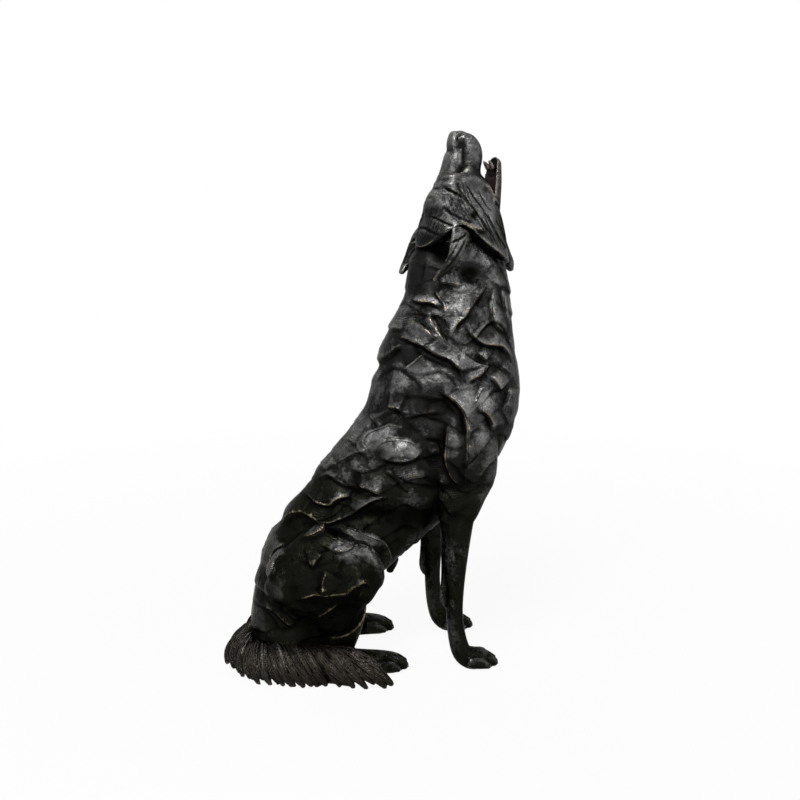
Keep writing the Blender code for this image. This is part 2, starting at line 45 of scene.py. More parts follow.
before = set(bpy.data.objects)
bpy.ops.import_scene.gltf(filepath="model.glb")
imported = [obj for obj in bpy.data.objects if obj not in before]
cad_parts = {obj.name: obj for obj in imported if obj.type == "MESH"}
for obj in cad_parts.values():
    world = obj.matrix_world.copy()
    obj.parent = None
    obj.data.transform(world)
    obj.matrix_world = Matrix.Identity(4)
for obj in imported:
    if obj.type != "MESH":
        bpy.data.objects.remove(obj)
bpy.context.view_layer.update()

MM = 0.001
# Where the tables' origin stands in the frame.
STAND = (20.93, 0.18, 0)

# Where the parts stand: x, y of each pair of legs, and the head's place on the neck.
HIND_AT = (-60, 38)
FORE_AT = (36, 36)
TAIL_AT = (-88, 6)
HEAD_AT = (46, 0, 300)
HEAD_TURN = 14
# The hind paws lie this far to the left of the middle, and the left foreleg this far back.
HIND_SHIFT = 5
FORE_STAGGER = -3

# Fur plates: how far an edge rises over the plate beneath it, how far that one is cut back under the edge,
# how far each runs out, and how sharp the edge is.
PLATE_RISE = 1.0
PLATE_DROP = 0.35
PLATE_REACH = 10
DROP_REACH = 7
EDGE = 2.4
GROOVE_WIDTH = 0.9
# A plate's edge and a groove fade out over this share of their length at each end.
PLATE_FADE = 0.25
GROOVE_FADE = 0.2
# The far side's lines drift by this much, in full from this far out, and the second wave has this share.
FAR_SIDE_DRIFT = 4
DRIFT_FROM = 20
SECOND_WAVE = 0.6
# Between those edges, smaller plates cover the coat: their size, their length, width and height as shares
# of it, their tilt, and how wavy their borders are.
TILE_SIZE = 17
TILE_SHAPE = (1.6, 1.4, 0.95)
TILE_TILT = 1.15
TILE_WAVE = 0.3
# Where they fade out, in side view: x, z, half length, half height, share.
TILE_CALM = [
    (40, 112, 24, 34, 1), (-48, 80, 40, 36, 0.9), (62, 165, 14, 40, 0.4), (-84, 138, 20, 24, 0.9),
    (-56, 172, 16, 22, 0.9), (-32, 212, 14, 26, 0.9), (-10, 262, 14, 24, 0.9), (30, 294, 34, 14, 0.9),
    (-86, 90, 22, 30, 0.8), (92, 225, 16, 45, 0.8),
]
# A tile's middle lies this far into its cell at least, and up to this much farther by chance.
TILE_MIDDLE = (0.15, 0.7)
# What makes chance of a cell's place in the grid.
MIX_WAY = (127.1, 311.7, 74.7)
MIX_SIZE = 43758.5453
# The edge of the head's hair stands over the neck by this much.
RIM_RISE = 0.9
RIM_DROP = 16
RIM_EDGE = 1.6
# Locks of hair laid along the tail: how many, how far each runs on, and its thickness at the middle.
TAIL_LOCKS = 42
TAIL_LOCK_RUN = (7, 30)
TAIL_LOCK_SIZE = 3.0
LOCK_SIDES = 12
# How much of a lock's place, run, size and height is left to chance.
LOCK_SWAY = (0.9, 0.5, 0.6, 0.5)
# A point this far from a mass belongs to something else.
SURFACE_REACH = 2.5

# Points to a span of a loft, a line in side view, a stroke of hair and the tail's middle line.
LOFT_SPANS = 4
LINE_SPANS = 3
HAIR_SPANS = 6
TAIL_SPANS = 12
# A loft's ends are domed by rings at these angles, over this share of the end's smaller radius, and no
# radius is less than the thinnest.
DOME_ANGLES = (75, 50, 25)
DOME_REACH = 0.8
THINNEST = 0.3

# Lofts are stations: x, y, z of the centre, half depth fore and aft, half width side to side.
# A limb's x and y are measured from where it stands, its z from the floor.
TORSO = [
    (-76, 0, -4, 36, 34), (-75, 0, 20, 42, 38), (-72, 0, 48, 42, 40), (-62, 0, 78, 43, 40),
    (-38, 0, 106, 45, 36), (-11, 0, 136, 49.5, 39), (19.5, 0, 170, 54.5, 44), (35, 0, 206, 57, 46),
    (38.5, 0, 240, 50, 42), (43, 0, 272, 41.5, 36),
]
# The neck runs up into the skull: these are measured from where the head sits.
NECK = [(-3, 0, 0, 37, 29), (-3, 0, 14, 32, 25)]
THIGH = [
    (-32, -12, 62, 18, 12), (-20, -5, 70, 32, 19), (0, 0, 75, 42, 22), (19, 2, 80, 34, 19),
    (31, 2, 85, 20, 12),
]
SHANK = [
    (16, -2, 66, 15, 14), (14, -4, 46, 15, 14), (7, -6, 24, 15, 13), (0, -7, 10, 13, 12),
]
HIND_PAW = [
    (0, -4, 8, 12, 11), (22, -2, 7, 10, 10), (40, -1, 6, 9, 10), (49, -1, 5, 8, 10),
]
SHOULDER = [
    (-6, -12, 208, 34, 16), (1, -6, 180, 31, 17), (6, -2, 152, 25, 15), (2, 0, 122, 15, 12),
]
FORELEG = [
    (2, -1, 140, 17, 14), (1, 0, 117, 13, 11.5), (0, 1, 88, 9.5, 9), (0, 1, 62, 6.8, 7.2),
    (0, 1, 42, 6.3, 6.8), (2, 1, 25, 6.8, 7.4), (6, 1, 12, 7.5, 8.5), (13, 1, 7, 8.5, 9.5),
    (21, 1, 6.5, 8, 9.5),
]
# The feathering behind a forearm, which ends in a notch.
FEATHER = [
    (-5, -1, 128, 6, 3), (-5, 0, 100, 6, 2.8), (-5, 0, 75, 5.5, 2.4), (-6, 0, 57, 5.5, 2.2),
    (-5, 0, 50, 3.5, 1.8),
]
# A paw's toes: x and y of each from the paw's end, and how far it is across.
TOES = [(-3, -8.5, 4.8), (2, -3.2, 5.6), (2, 3.2, 5.6), (-3, 8.5, 4.8)]
FORE_TOES_AT = (21.5, 1)
HIND_TOES_AT = (49, -1)
TOE_HEIGHT = 6
TOE_WIDTH = 0.8
# A toe, knuckle to tip: share of its size ahead, millimetres up, then shares of its depth and its width.
TOE = [(-1.6, 1, 0.9, 1), (0, 0, 1, 1), (1.3, -2.2, 0.6, 0.8)]
# The tail lies on the floor, round the right haunch: x and y from its root.
TAIL = [
    (0, 0, 36, 14, 14), (-17, -1, 22, 13, 13), (-29, -7, 11, 12.5, 13), (-24, -25, 10, 12.5, 13.5),
    (-10, -36, 11, 13, 13.5), (8, -43, 11, 13, 12.5), (28, -49, 11, 13, 13), (44, -52, 10, 12, 12),
    (55, -53, 7, 7, 8),
]
# A lock on the tail, root to tip: share of its run, share of the tail's half width out, share of its half
# height up, and share of the lock's own size.
TAIL_LOCK = [(-0.2, -0.3, 0.7, 0.6), (0.3, 0.1, 0.8, 1.1), (0.65, 0.5, 0.4, 1.2), (0.9, 0.72, -0.15, 0.9),
             (1.08, 0.64, -0.7, 0.5)]
# The first and the last lock's place along the tail.
TAIL_LOCKS_FROM = 0.12
TAIL_LOCKS_TO = 0.8
# How much wider than the tail the locks stand, at shares of its length.
TAIL_LOCK_FLARE = [(0.15, 0.4, 0.75), (0.85, 1.22, 1.32)]
# Locks reach their full run at this share of the tail's length.
TAIL_LOCKS_LONG = 0.7
TAIL_TIPS = [
    [(34, -50, 9, 8, 8), (51, -55, 7, 6, 7), (65, -61, 4, 2.5, 3)],
    [(18, -48, 7, 6, 6), (32, -57, 5, 4.5, 5), (43, -64, 3, 2.5, 3)],
]
BELLY_TUFT = [(-8, 0, 92, 9, 7), (-7, 0, 76, 6, 5), (-8, 0, 67, 3, 2.5)]
# The head, from where it sits on the neck: its muzzle points up.
SKULL = [
    (0, 0, -4, 37, 31), (0, 0, 10, 35, 34), (0, 0, 24, 33, 32), (0, 0, 38, 30, 28), (0, 0, 50, 26, 22),
    (1, 0, 60, 20, 17),
]
BROW = [(-14, 8, 40, 11, 8), (-13, 9, 50, 9, 7), (-9, 9, 60, 5, 4.5)]
MUZZLE = [
    (-3, 0, 42, 25, 22), (-1, 0, 54, 21, 18), (-2, 0, 65, 16.5, 14), (-0.8, 0, 75, 14.2, 12.5),
    (1.4, 0, 84, 13.5, 12), (0, 0, 90.5, 10.8, 10.5), (-3.5, 0, 95.2, 6.3, 8.2),
]
MUZZLE_SQUARE = 2.4
NOSE = [(-7, 0, 84, 4.5, 7), (-7.5, 0, 92, 4.2, 7), (-7, 0, 98, 3, 5.5)]
JAW = [
    (12, 0, 30, 16, 18), (18.5, 0, 46, 12, 14), (21.5, 0, 58, 10, 11), (23, 0, 68, 9, 9.5),
    (25, 0, 77, 7, 7),
]
JAW_TROUGH = 0.25
CANINE = [(23.5, 3.5, 74, 2.2, 2), (21.5, 4, 77, 1.6, 1.4), (20, 4.3, 79, 0.8, 0.7)]
BEARD = [(28, 0, 18, 8, 14), (34, 0, 10, 6, 11), (39, 0, 4, 4.5, 8), (42, 0, -1, 2, 4)]
EAR = [
    (-14, 28, 29, 3, 7.5), (-17, 31.5, 22, 2.8, 7), (-22.5, 34.5, 12, 2.4, 5.2), (-29, 34.5, 3, 1.9, 3.6),
    (-36, 31, -4.5, 1.3, 1.3),
]
# The direction across an ear.
EAR_ACROSS = (1, 0, -0.5)
FAR_EAR = [
    (-14, 28, 29, 3.5, 7.5), (-19, 31.5, 22, 4.4, 7), (-24, 34, 12, 5, 5.4), (-29, 34, 3.5, 4.8, 4),
    (-34.5, 31.5, -3, 3.2, 2.2),
]
# The edge of the head's hair over the neck, in side view, from nape to beard.
RIM = [(-42, 12), (-35, 16), (-30, 21), (-25, 26), (-20, 30), (-14, 33), (-8, 32), (-3, 27), (5, 20),
       (13, 15), (24, 9), (37, 3), (46, -1)]

# Plate edges in side view: the height of the step, then x, z points with the upper plate on their left.
NECK_PLATES = [
    (3, [(6, 280), (12, 278), (17, 278), (23, 276), (27, 275)]),
    (2, [(21, 288), (24, 282), (27, 277), (28, 268)]),
    (3, [(31, 252), (33, 258), (36, 264), (41, 268), (47, 277), (55, 286), (59, 293)]),
    (3, [(42, 265), (46, 256), (54, 249), (63, 247), (71, 245), (77, 238), (80, 232)]),
    (3, [(-8, 253), (1, 252), (8, 249), (13, 247), (20, 242), (28, 239), (33, 235), (37, 230), (40, 221)]),
    (3, [(40, 221), (46, 224), (53, 228), (57, 232), (58, 237)]),
    (2, [(50, 243), (54, 239), (58, 236)]),
    (1.5, [(-8, 255), (-4, 258), (0, 257)]),
    (2.5, [(22, 253), (18, 256), (14, 260), (9, 263), (4, 266)]),
    (3, [(29, 249), (25, 254), (21, 261), (18, 266), (16, 272)]),
    (2, [(66, 289), (64, 282), (62, 274), (63, 265), (67, 259), (77, 254)]),
    (1.5, [(72, 289), (73, 285), (74, 269), (76, 260)]),
    (1.5, [(23, 293), (29, 292), (40, 290)]),
]
CHEST_PLATES = [
    (2, [(13, 243), (9, 240), (4, 235), (-3, 229)]),
    (2.5, [(-17, 228), (-14, 234), (-10, 239), (-5, 245), (0, 246)]),
    (1.5, [(57, 219), (52, 216), (49, 210), (46, 206)]),
    (2.5, [(60, 226), (65, 219), (69, 213)]),
    (3, [(47, 204), (54, 200), (60, 193), (63, 183)]),
    (3.5, [(20, 217), (27, 213), (35, 206), (40, 198), (42, 187), (42, 178)]),
    (1, [(42, 190), (42, 175), (41, 160), (40, 145)]),
    (2.5, [(29, 194), (27, 185), (26, 175), (26, 166), (29, 156), (34, 149), (40, 145)]),
    (1.5, [(77, 216), (75, 207), (71, 202)]),
]
RIB_PLATES = [
    (2, [(-14, 203), (-7, 202), (-3, 201)]),
    (1.2, [(-6, 194), (1, 197), (10, 200), (20, 201), (26, 198)]),
    (1.6, [(-2, 185), (-6, 189), (-12, 190), (-17, 188), (-23, 185), (-28, 182), (-31, 177), (-29, 172),
         (-25, 171)]),
    (1.6, [(6, 175), (1, 179), (-4, 180), (-11, 180), (-18, 178), (-23, 173)]),
    (2, [(-22, 168), (-15, 165), (-7, 164), (3, 166), (10, 174)]),
    (1.6, [(22, 169), (21, 175), (17, 178), (12, 177)]),
    (1.2, [(-51, 158), (-45, 162), (-38, 167), (-27, 171)]),
    (2.4, [(-38, 145), (-31, 144), (-25, 142), (-19, 139)]),
    (1.2, [(-19, 157), (-16, 156), (-11, 153), (-6, 148), (-6, 143)]),
    (1.2, [(-4, 148), (0, 152), (6, 153), (16, 154)]),
    (1.2, [(-25, 195), (-23, 192), (-20, 187)]),
    (1.6, [(-66, 143), (-59, 148), (-55, 150), (-50, 147), (-45, 145), (-35, 145)]),
    (1.2, [(-59, 151), (-54, 156), (-49, 159)]),
    (1.6, [(22, 143), (26, 133), (32, 123)]),
    (1.2, [(25, 122), (19, 114), (13, 107)]),
]
HAUNCH_PLATES = [
    (3.5, [(-74, 134), (-69, 133), (-65, 130), (-56, 130), (-51, 134), (-45, 137), (-38, 138)]),
    (2.5, [(-92, 110), (-84, 118), (-76, 122), (-69, 120), (-61, 117)]),
    (3.5, [(-87, 104), (-78, 110), (-70, 113), (-59, 117), (-51, 120), (-43, 123), (-36, 128), (-26, 135),
           (-16, 137), (-8, 134)]),
    (1.5, [(-13, 75), (-11, 84), (-13, 93), (-17, 101), (-27, 107), (-42, 114), (-55, 116)]),
    (4, [(-87, 67), (-79, 70), (-70, 74), (-62, 73), (-50, 73), (-45, 77), (-39, 79), (-34, 79), (-28, 72)]),
    (2.5, [(-72, 50), (-69, 52), (-60, 58), (-55, 63), (-52, 65)]),
    (1.5, [(-62, 91), (-65, 84), (-65, 74)]),
    (1.5, [(-72, 92), (-69, 98), (-64, 103)]),
    (2, [(-59, 106), (-54, 103), (-45, 103), (-41, 108)]),
    (1.5, [(-76, 106), (-74, 99), (-72, 92)]),
    (2.5, [(-104, 76), (-100, 85), (-97, 93), (-89, 102)]),
    (2, [(-108, 53), (-99, 51), (-92, 45), (-84, 40)]),
    (2, [(-94, 59), (-86, 50), (-81, 45)]),
]
BODY_PLATES = NECK_PLATES + CHEST_PLATES + RIB_PLATES + HAUNCH_PLATES
# Hollows, and lumps where the depth is negative: x, z, half length, half height, depth.
BODY_HOLLOWS = [
    (-25, 122, 27, 7, 5.5), (27, 316, 8, 9, 9), (-19, 180, 11, 7, -1.5), (-4, 172, 13, 6, -1.5),
    (-44, 104, 17, 8, -1.5), (53, 205, 8, 16, -1.5), (48, 298, 8, 6, 4), (-46, 53, 31, 14, 8),
    (-95, 72, 6, 11, -2.5), (25, 150, 4, 4, -2.5), (17, 173, 4, 4, -2), (33, 176, 4, 16, -1.5),
]
# The head's own plates, grooves and hollows, from where it sits.
HEAD_PLATES = [
    (0.9, [(2, 76), (-3, 72), (-8, 69.5), (-14, 68), (-19, 66)]),
    (1.5, [(-16, 37), (-12, 35), (-6, 31.5), (0, 30), (5, 29)]),
    (1.5, [(12, 63), (17, 56), (18, 47)]),
]
HEAD_GROOVES = [
    (0.5, [(-8, 91), (-7, 95), (-3, 98), (0, 99)]),
    (1.1, [(-19, 59), (-16, 57.5), (-12, 55), (-8, 52.5)]),
    (0.7, [(-11, 64), (-9, 56), (-5, 48), (2, 39)]),
    (0.7, [(-4, 62), (-1, 54), (4, 46), (9, 38), (14, 30)]),
    (0.7, [(4, 58), (8, 50), (13, 42)]),
    (0.7, [(-23, 47), (-19, 42), (-12, 37), (-4, 34)]),
    (0.7, [(-29, 40), (-25, 36), (-18, 32)]),
    (0.7, [(-33, 33), (-30, 28), (-24, 24)]),
    (0.7, [(-3, 46), (1, 38), (6, 31), (10, 25)]),
    (0.7, [(15, 38), (21, 30), (28, 22), (34, 14)]),
    (0.7, [(12, 30), (19, 22), (26, 15)]),
    (0.7, [(-27, 50), (-24, 56), (-20, 60)]),
]
HEAD_HOLLOWS = [
    (-4, 84, 3.5, 10, 2.8), (-7, 73, 5, 4, 2), (6, 79, 5, 12, -1.2), (16, 55, 3, 8, -1.5),
    (-15, 61.5, 5, 3, -2), (-27, 54, 8, 9, -1.5), (-3, 40, 3, 3, 2),
]

# What only the fine casting has. Strokes of hair on the head: how many in a family, its first and its last.
HEAD_FAMILIES = [
    (13, [(-36, 21), (-33, 31), (-31, 41), (-27, 51)], [(-30, 20), (-26, 27), (-22, 32), (-16, 35)]),
    (8, [(-22, 57), (-22, 48), (-19, 41), (-13, 33)], [(-10, 54), (-9, 46), (-7, 39), (-3, 30)]),
    (8, [(-14, 64), (-12, 58), (-9, 50), (-5, 41)], [(-6, 66), (-5, 59), (-4, 52), (-1, 41)]),
    (9, [(-2, 41), (0, 34), (4, 27), (10, 18)], [(8, 46), (11, 36), (16, 26), (24, 13)]),
    (7, [(16, 46), (18, 34), (24, 22), (33, 9)], [(26, 56), (26, 42), (29, 26), (36, 10)]),
    (6, [(-33, 18), (-28, 22), (-22, 27), (-15, 30)], [(-30, 22), (-25, 28), (-18, 32), (-12, 33)]),
]
EAR_GROOVES = [
    (0.7, [(-28, 19), (-23, 22), (-17, 24), (-10, 28)]),
    (0.5, [(-14, 30), (-19, 22), (-27, 11), (-34, 0)]),
    (0.4, [(-11, 26), (-16, 19), (-24, 9), (-33, -1)]),
    (0.4, [(-17, 28), (-23, 20), (-30, 10), (-35, 1)]),
]
# How far a stroke sways, and how many points at its ends are left to chance.
HAIR_SWAY = 0.35
HAIR_CUT = 3
# A tile's height, its slope fore and aft, how much it varies, and how sharply one gives way to the next.
TILE_TOP = 0.3
TILE_LEAN = 0.35
TILE_VARIES = 0.5
TILE_SHARP = 20
# The ground's unevenness.
WAVE_HEIGHT = 1.6
WAVE_SIZE = 15
# How far the masses and the skin are smoothed, in square millimetres.
MASS_SOFTNESS = 36
HEAD_SOFTNESS = 14
SKIN_SOFTNESS = 0.8
# Turns of averaging over which a point counts as standing out, near and wide.
NEAR_TURNS = 3
WIDE_TURNS = 24
# How much a strand of hair or a lip stands out.
STRAND_CREST = 0.6
# How much lighter a surface that faces up is painted, as painted light from above, and how much darker one
# that faces down, as painted shade.
UP_PAINTED_LIGHT = 0.8
# Painted highlights, and painted shade where the amount is negative: x, z, half length, half height and
# amount.
PAINTED_LIGHT_PATCHES = [
    (-21, 181, 12, 8, 1.9), (-5, 173, 13, 7, 1.7), (-45, 104, 11, 6, 4.6), (-27, 104, 5, 5, 4.6),
    (42, 214, 9, 17, 1.4), (54, 203, 10, 18, 1.6), (8, 228, 16, 8, 1.4), (35, 272, 14, 16, 1.0),
    (-50, 142, 30, 12, -0.9), (37, 384, 14, 24, 0.7), (33, 320, 6, 14, 1.2), (37, 349, 20, 20, 0.2),
    (62, 350, 8, 14, 2.0), (10, 208, 18, 12, -1.6), (18, 174, 8, 25, -1.6), (2, 118, 34, 10, -2.6),
    (-56, 68, 36, 26, -2.8), (-38, 50, 30, 16, -3.0), (-72, 34, 28, 18, -2.2), (-75, 116, 24, 22, -2.2),
    (36, 143, 14, 22, -2.8), (0, 6, 120, 14, -1.6), (38, 79, 12, 40, -0.4), (-8, 242, 14, 14, -1.0),
    (21, 314, 15, 12, -2.4), (13, 298, 15, 13, -1.6), (47, 301, 8, 7, -1.6),
]
# Lines are dropped on to a surface from this far out, and end where it jumps by more than this. A lip lies
# this far inside its plate's edge.
FAR_OUT = 300
JUMP = 7
LIP_INSET = 0.45
# A run of fewer points is left out, its ends start this far into their taper, and a strand on the tail
# stays this far over the floor.
SHORTEST_RUN = 4
TAPER_END = 0.02
STRAND_FLOOR = 0.8
# Angles round a tail lock, and round the tail's tip, where strands lie.
STRAND_TURNS = (60, 95, 130, 165, 200, 240)
TIP_TURNS = tuple(range(20, 219, 18))
# A claw: ahead, up and its share of the root's thickness, and where it is set, in toe sizes.
CLAW = [(-1.5, 5.2, 1), (0.8, 4.6, 0.85), (1.9, 3.4, 0.55), (2.6, 2, 0.15)]
CLAW_AT = 1.35
# The inside of the mouth, from where the head sits, how far it reaches each way, and where it ends below,
# in reaches.
MOUTH_AT = (19, -5, 66)
MOUTH_REACH = (5, 9, 12)
MOUTH_BOTTOM = -1.5
# The patina's noises: size in millimetres, detail and roughness.
CLOUD = (38, 3, 0.55)
SPECK = (3.0, 4, 0.6)
FINE = (0.9, 3, 0.6)
DENT = (7.0, 2, 0.5)
WANDER = (4.0, 2, 0.5)
FILED_PATCH = (13, 2, 0.5)
# Its ranges: an attribute, height or noise from and to, then the share, light or roughness from and to.
# The olive coat below these heights is a greener patina and also darker, as painted shade; the rubbed grey is
# painted fainter low down, as painted light from above; the rubbed and hollow ranges also carry painted
# highlights and painted shade.
OLIVE_AND_SHADE_BELOW = (0.19, 0.13)
LIT_ABOVE = (0.02, 0.2, 0.5, 1)
CLOUD_RANGE = (0.35, 0.7, 0, 0.3)
RUBBED_AND_HIGHLIGHT_RANGE = (0.2, 2.4, 0, 0.8)
HOLLOW_AND_SHADE_RANGE = (-0.4, -2.4)
BARE_RANGE = (1.6, 3.8, 0, 0.75)
WAXED_RANGE = (0.3, 0.7, 0.21, 0.34)
DULL_RANGE = (0.2, -2.0, 0, 0.25)
FILED_RANGE = (0.45, 0.62)
# How far the specks break up the rubbed places and painted highlights and the bare edges, and how far the
# file marks wander.
RUBBED_AND_HIGHLIGHT_BREAK = 2.5
BARE_BREAK = 3.0
MARKS_WANDER = 1.4
# The tint of what is seen edge on.
EDGE_TINT = (0.5, 0.5, 0.5, 1)
# Depths of the bumps, in millimetres.
DENT_DEPTH = 0.7
PIT_DEPTH = 0.5
FILE_DEPTH = 0.22
# The studio, in metres, and how far up the wolf's middle is, in millimetres.
FLOOR_HALF = 6
SHADOW_NEAR = 0.2
SHADOW_FAR = 0.9
SHADOW_SHARE = 0.07
FLOOR_GREY = (0.6, 0.6, 0.6, 1)
WHITE = (1, 1, 1, 1)
MIDDLE_UP = 202
SENSOR_WIDTH = 36
# Where each lamp hangs, and how large it is.
LAMPS = {
    "key": ((-0.4, -0.85, 1.45), (0.55, 0.55)),
    "side": ((1.3, -0.75, 0.75), (0.5, 0.9)),
    "back": ((-0.4, 1.2, 1.2), (0.9, 0.6)),
}


def length_property(name, about, default, low, high):
    """A property for a length, given in millimetres."""
    return bpy.props.FloatProperty(name=name, description=about, default=default * MM, min=low * MM,
                                   max=high * MM, subtype="DISTANCE", unit="LENGTH", precision=5)


def colour_property(name, about, *shade):
    """A property for a colour, given as red, green and blue."""
    return bpy.props.FloatVectorProperty(name=name, description=about, default=(*shade, 1), min=0, max=1,
                                         subtype="COLOR", size=4)


def power_property(name, about, watts):
    """A property for a lamp's power."""
    return bpy.props.FloatProperty(name=name, description=about, default=watts, min=0, subtype="POWER",
                                   unit="POWER")


def angle_property(name, about, degrees):
    """A property for an angle, given in degrees."""
    return bpy.props.FloatProperty(name=name, description=about, default=math.radians(degrees),
                                   subtype="ANGLE", unit="ROTATION")


class WolfDetail(bpy.types.PropertyGroup):
    """How finely the casting is made."""
    body_step: length_property("Body step", "Spacing of the body's points before thinning", 0.8, 0.5, 3)
    head_step: length_property("Head step", "Spacing of the head's points before thinning", 0.5, 0.4, 3)
    triangles: bpy.props.IntProperty(
        name="Triangles", description="Triangles left on the body, and on the head", default=190000,
        min=10000, max=198000)
    rim_radius: length_property("Rim radius", "Half the thickness of the lip on a plate's edge", 0.4, 0.1, 2)
    hair_radius: length_property("Hair radius", "Half the thickness of a strand on the head", 0.36, 0.1, 2)
    tail_hair_radius: length_property(
        "Tail hair radius", "Half the thickness of a strand on the tail", 0.6, 0.1, 2)
    claw_radius: length_property("Claw radius", "Half the thickness of a claw at its root", 1.3, 0.2, 3)
    strand_sides: bpy.props.IntProperty(
        name="Strand sides", description="Faces round each strand, lip or claw", default=6, min=3, max=16)


class WolfPatina(bpy.types.PropertyGroup):
    """The patina's colours, from the hollows out to the rubbed edges; some of them also carry painted shade
    and painted highlights.
    """
    # Black patina in the hollows, also painted shade where the surface faces down and at the painted shade
    # patches.
    hollow_and_shade: colour_property("Hollows", "Where the patina lies thickest", 0.003, 0.003, 0.0025)
    coat: colour_property("Coat", "The patina over most of the casting", 0.0145, 0.015, 0.0142)
    # A greener patina low down, also darker there as painted shade.
    olive_and_shade: colour_property("Haunches", "The greener patina of the haunches and legs", 0.0085, 0.0088, 0.0062)
    brown: colour_property("Tail", "The browner patina of the tail", 0.025, 0.022, 0.018)
    # Rubbed patina on the swells, also the painted highlights where the surface faces up and at the painted
    # highlight patches.
    rubbed_and_highlight: colour_property("Rubbed", "Where the patina is rubbed thin", 0.16, 0.16, 0.158)
    edge: colour_property("Edges", "Bare metal along the sharpest edges", 0.21, 0.17, 0.11)
    mouth: colour_property("Mouth", "The reddish inside of the mouth", 0.055, 0.020, 0.014)
    file_marks: length_property("File marks", "Spacing of the marks that the files left", 1.15, 0.2, 3)


class WolfStudio(bpy.types.PropertyGroup):
    """The floor, the lamps and the camera."""
    key: power_property("Key lamp", "Power of the lamp over the camera's left shoulder", 28.0)
    side: power_property("Side lamp", "Power of the lamp in front of the wolf's chest", 7.0)
    back: power_property("Back lamp", "Power of the lamp behind the wolf", 7.0)
    room: bpy.props.FloatProperty(
        name="Room light", description="Strength of the light from all round", default=0.15, min=0, max=2)
    distance: bpy.props.FloatProperty(
        name="Camera distance", description="From the lens to the wolf's middle", default=0.795, min=0.3,
        subtype="DISTANCE", unit="LENGTH")
    azimuth: angle_property("Camera azimuth", "How far round it stands from beside the wolf", -9.0)
    elevation: angle_property("Camera elevation", "How far above level it stands", 10.8)
    lens: bpy.props.FloatProperty(
        name="Lens", description="Focal length in millimetres", default=47.25, min=10, max=200)


def spline(stations, spans=LOFT_SPANS):
    """Catmull-Rom curve through the stations, all their numbers at once."""
    p = np.array(stations, float)
    p = np.vstack([2 * p[0] - p[1], p, 2 * p[-1] - p[-2]])
    out = []
    for a, b, c, d in zip(p, p[1:], p[2:], p[3:]):
        for t in np.arange(spans) / spans:
            out.append(b + 0.5 * ((c - a) * t + (2 * a - 5 * b + 4 * c - d) * t ** 2
                                  + (3 * b - a - 3 * c + d) * t ** 3))
    out.append(p[-2])
    return np.array(out)


def headings(points):
    """The unit direction of a line of points, at each of them."""
    ways = np.gradient(points, axis=0)
    return ways / np.linalg.norm(ways, axis=1)[:, None]


def at(place, stations):
    """Stations moved to where a part stands."""
    shift = np.zeros(len(stations[0]))
    shift[:len(place)] = place
    return [tuple(np.array(s, float) + shift) for s in stations]


def loft(stations, across=(0, 1, 0), sides=32, square=2.0, trough=None):
    """Points and faces of a closed tube with domed ends. A trough hollows its rear."""
    s = spline(stations)
    centres, radii = s[:, :3], np.maximum(s[:, 3:5], THINNEST)
    tangents = headings(centres)
    ends = {}
    for end, sign in ((0, -1), (-1, 1)):
        reach = DOME_REACH * radii[end].min()
        ends[end] = [(centres[end] + sign * tangents[end] * reach * math.sin(a), tangents[end],
                      radii[end] * math.cos(a)) for a in np.radians(DOME_ANGLES)]
    rings = ends[0] + list(zip(centres, tangents, radii)) + ends[-1][::-1]
    turns = np.arange(sides) * 2 * math.pi / sides
    c, n = np.cos(turns), np.sin(turns)
    c, n = np.sign(c) * abs(c) ** (2 / square), np.sign(n) * abs(n) ** (2 / square)
    if trough is not None:
        c = np.where(c < 0, -trough * c, c)
    points, faces = [], []
    for centre, t, (depth, width) in rings:
        side = np.cross((0, 0, 1), t) if across is None else np.array(across, float)
        side = side - t * (side @ t)
        side /= np.linalg.norm(side)
        front = np.cross(side, t)
        points += list(centre + (depth * c)[:, None] * front + (width * n)[:, None] * side)
    for r in range(len(rings) - 1):
        for k in range(sides):
            m = (k + 1) % sides
            faces.append((r * sides + k, (r + 1) * sides + k, (r + 1) * sides + m, r * sides + m))
    faces.append(tuple(range(sides)))
    last = (len(rings) - 1) * sides
    faces.append(tuple(last + k for k in reversed(range(sides))))
    return np.array(points), faces


def pair(stations, far=(0, 0, 0), both=(0, 0, 0), **how):
    """A part on each side. The left one is moved by far, and both of them by both."""
    points, faces = loft(stations, **how)
    left = points + np.array(far) + both
    right = points * (1, -1, 1) + both
    return [(left, faces), (right, [f[::-1] for f in faces])]


def toes(stand, paw, **how):
    """Four toes for each paw of a pair."""
    made = []
    for x, y, size in TOES:
        spot = (stand[0] + paw[0] + x, stand[1] + paw[1] + y)
        half = size * TOE_WIDTH
        toe = [(ahead * size, 0, TOE_HEIGHT + up, deep * size, wide * half) for ahead, up, deep, wide in TOE]
        made += pair(at(spot, toe), **how)
    return made


def swayed(chance, sway):
    """A factor near 1, by chance."""
    return 1 - sway / 2 + sway * chance


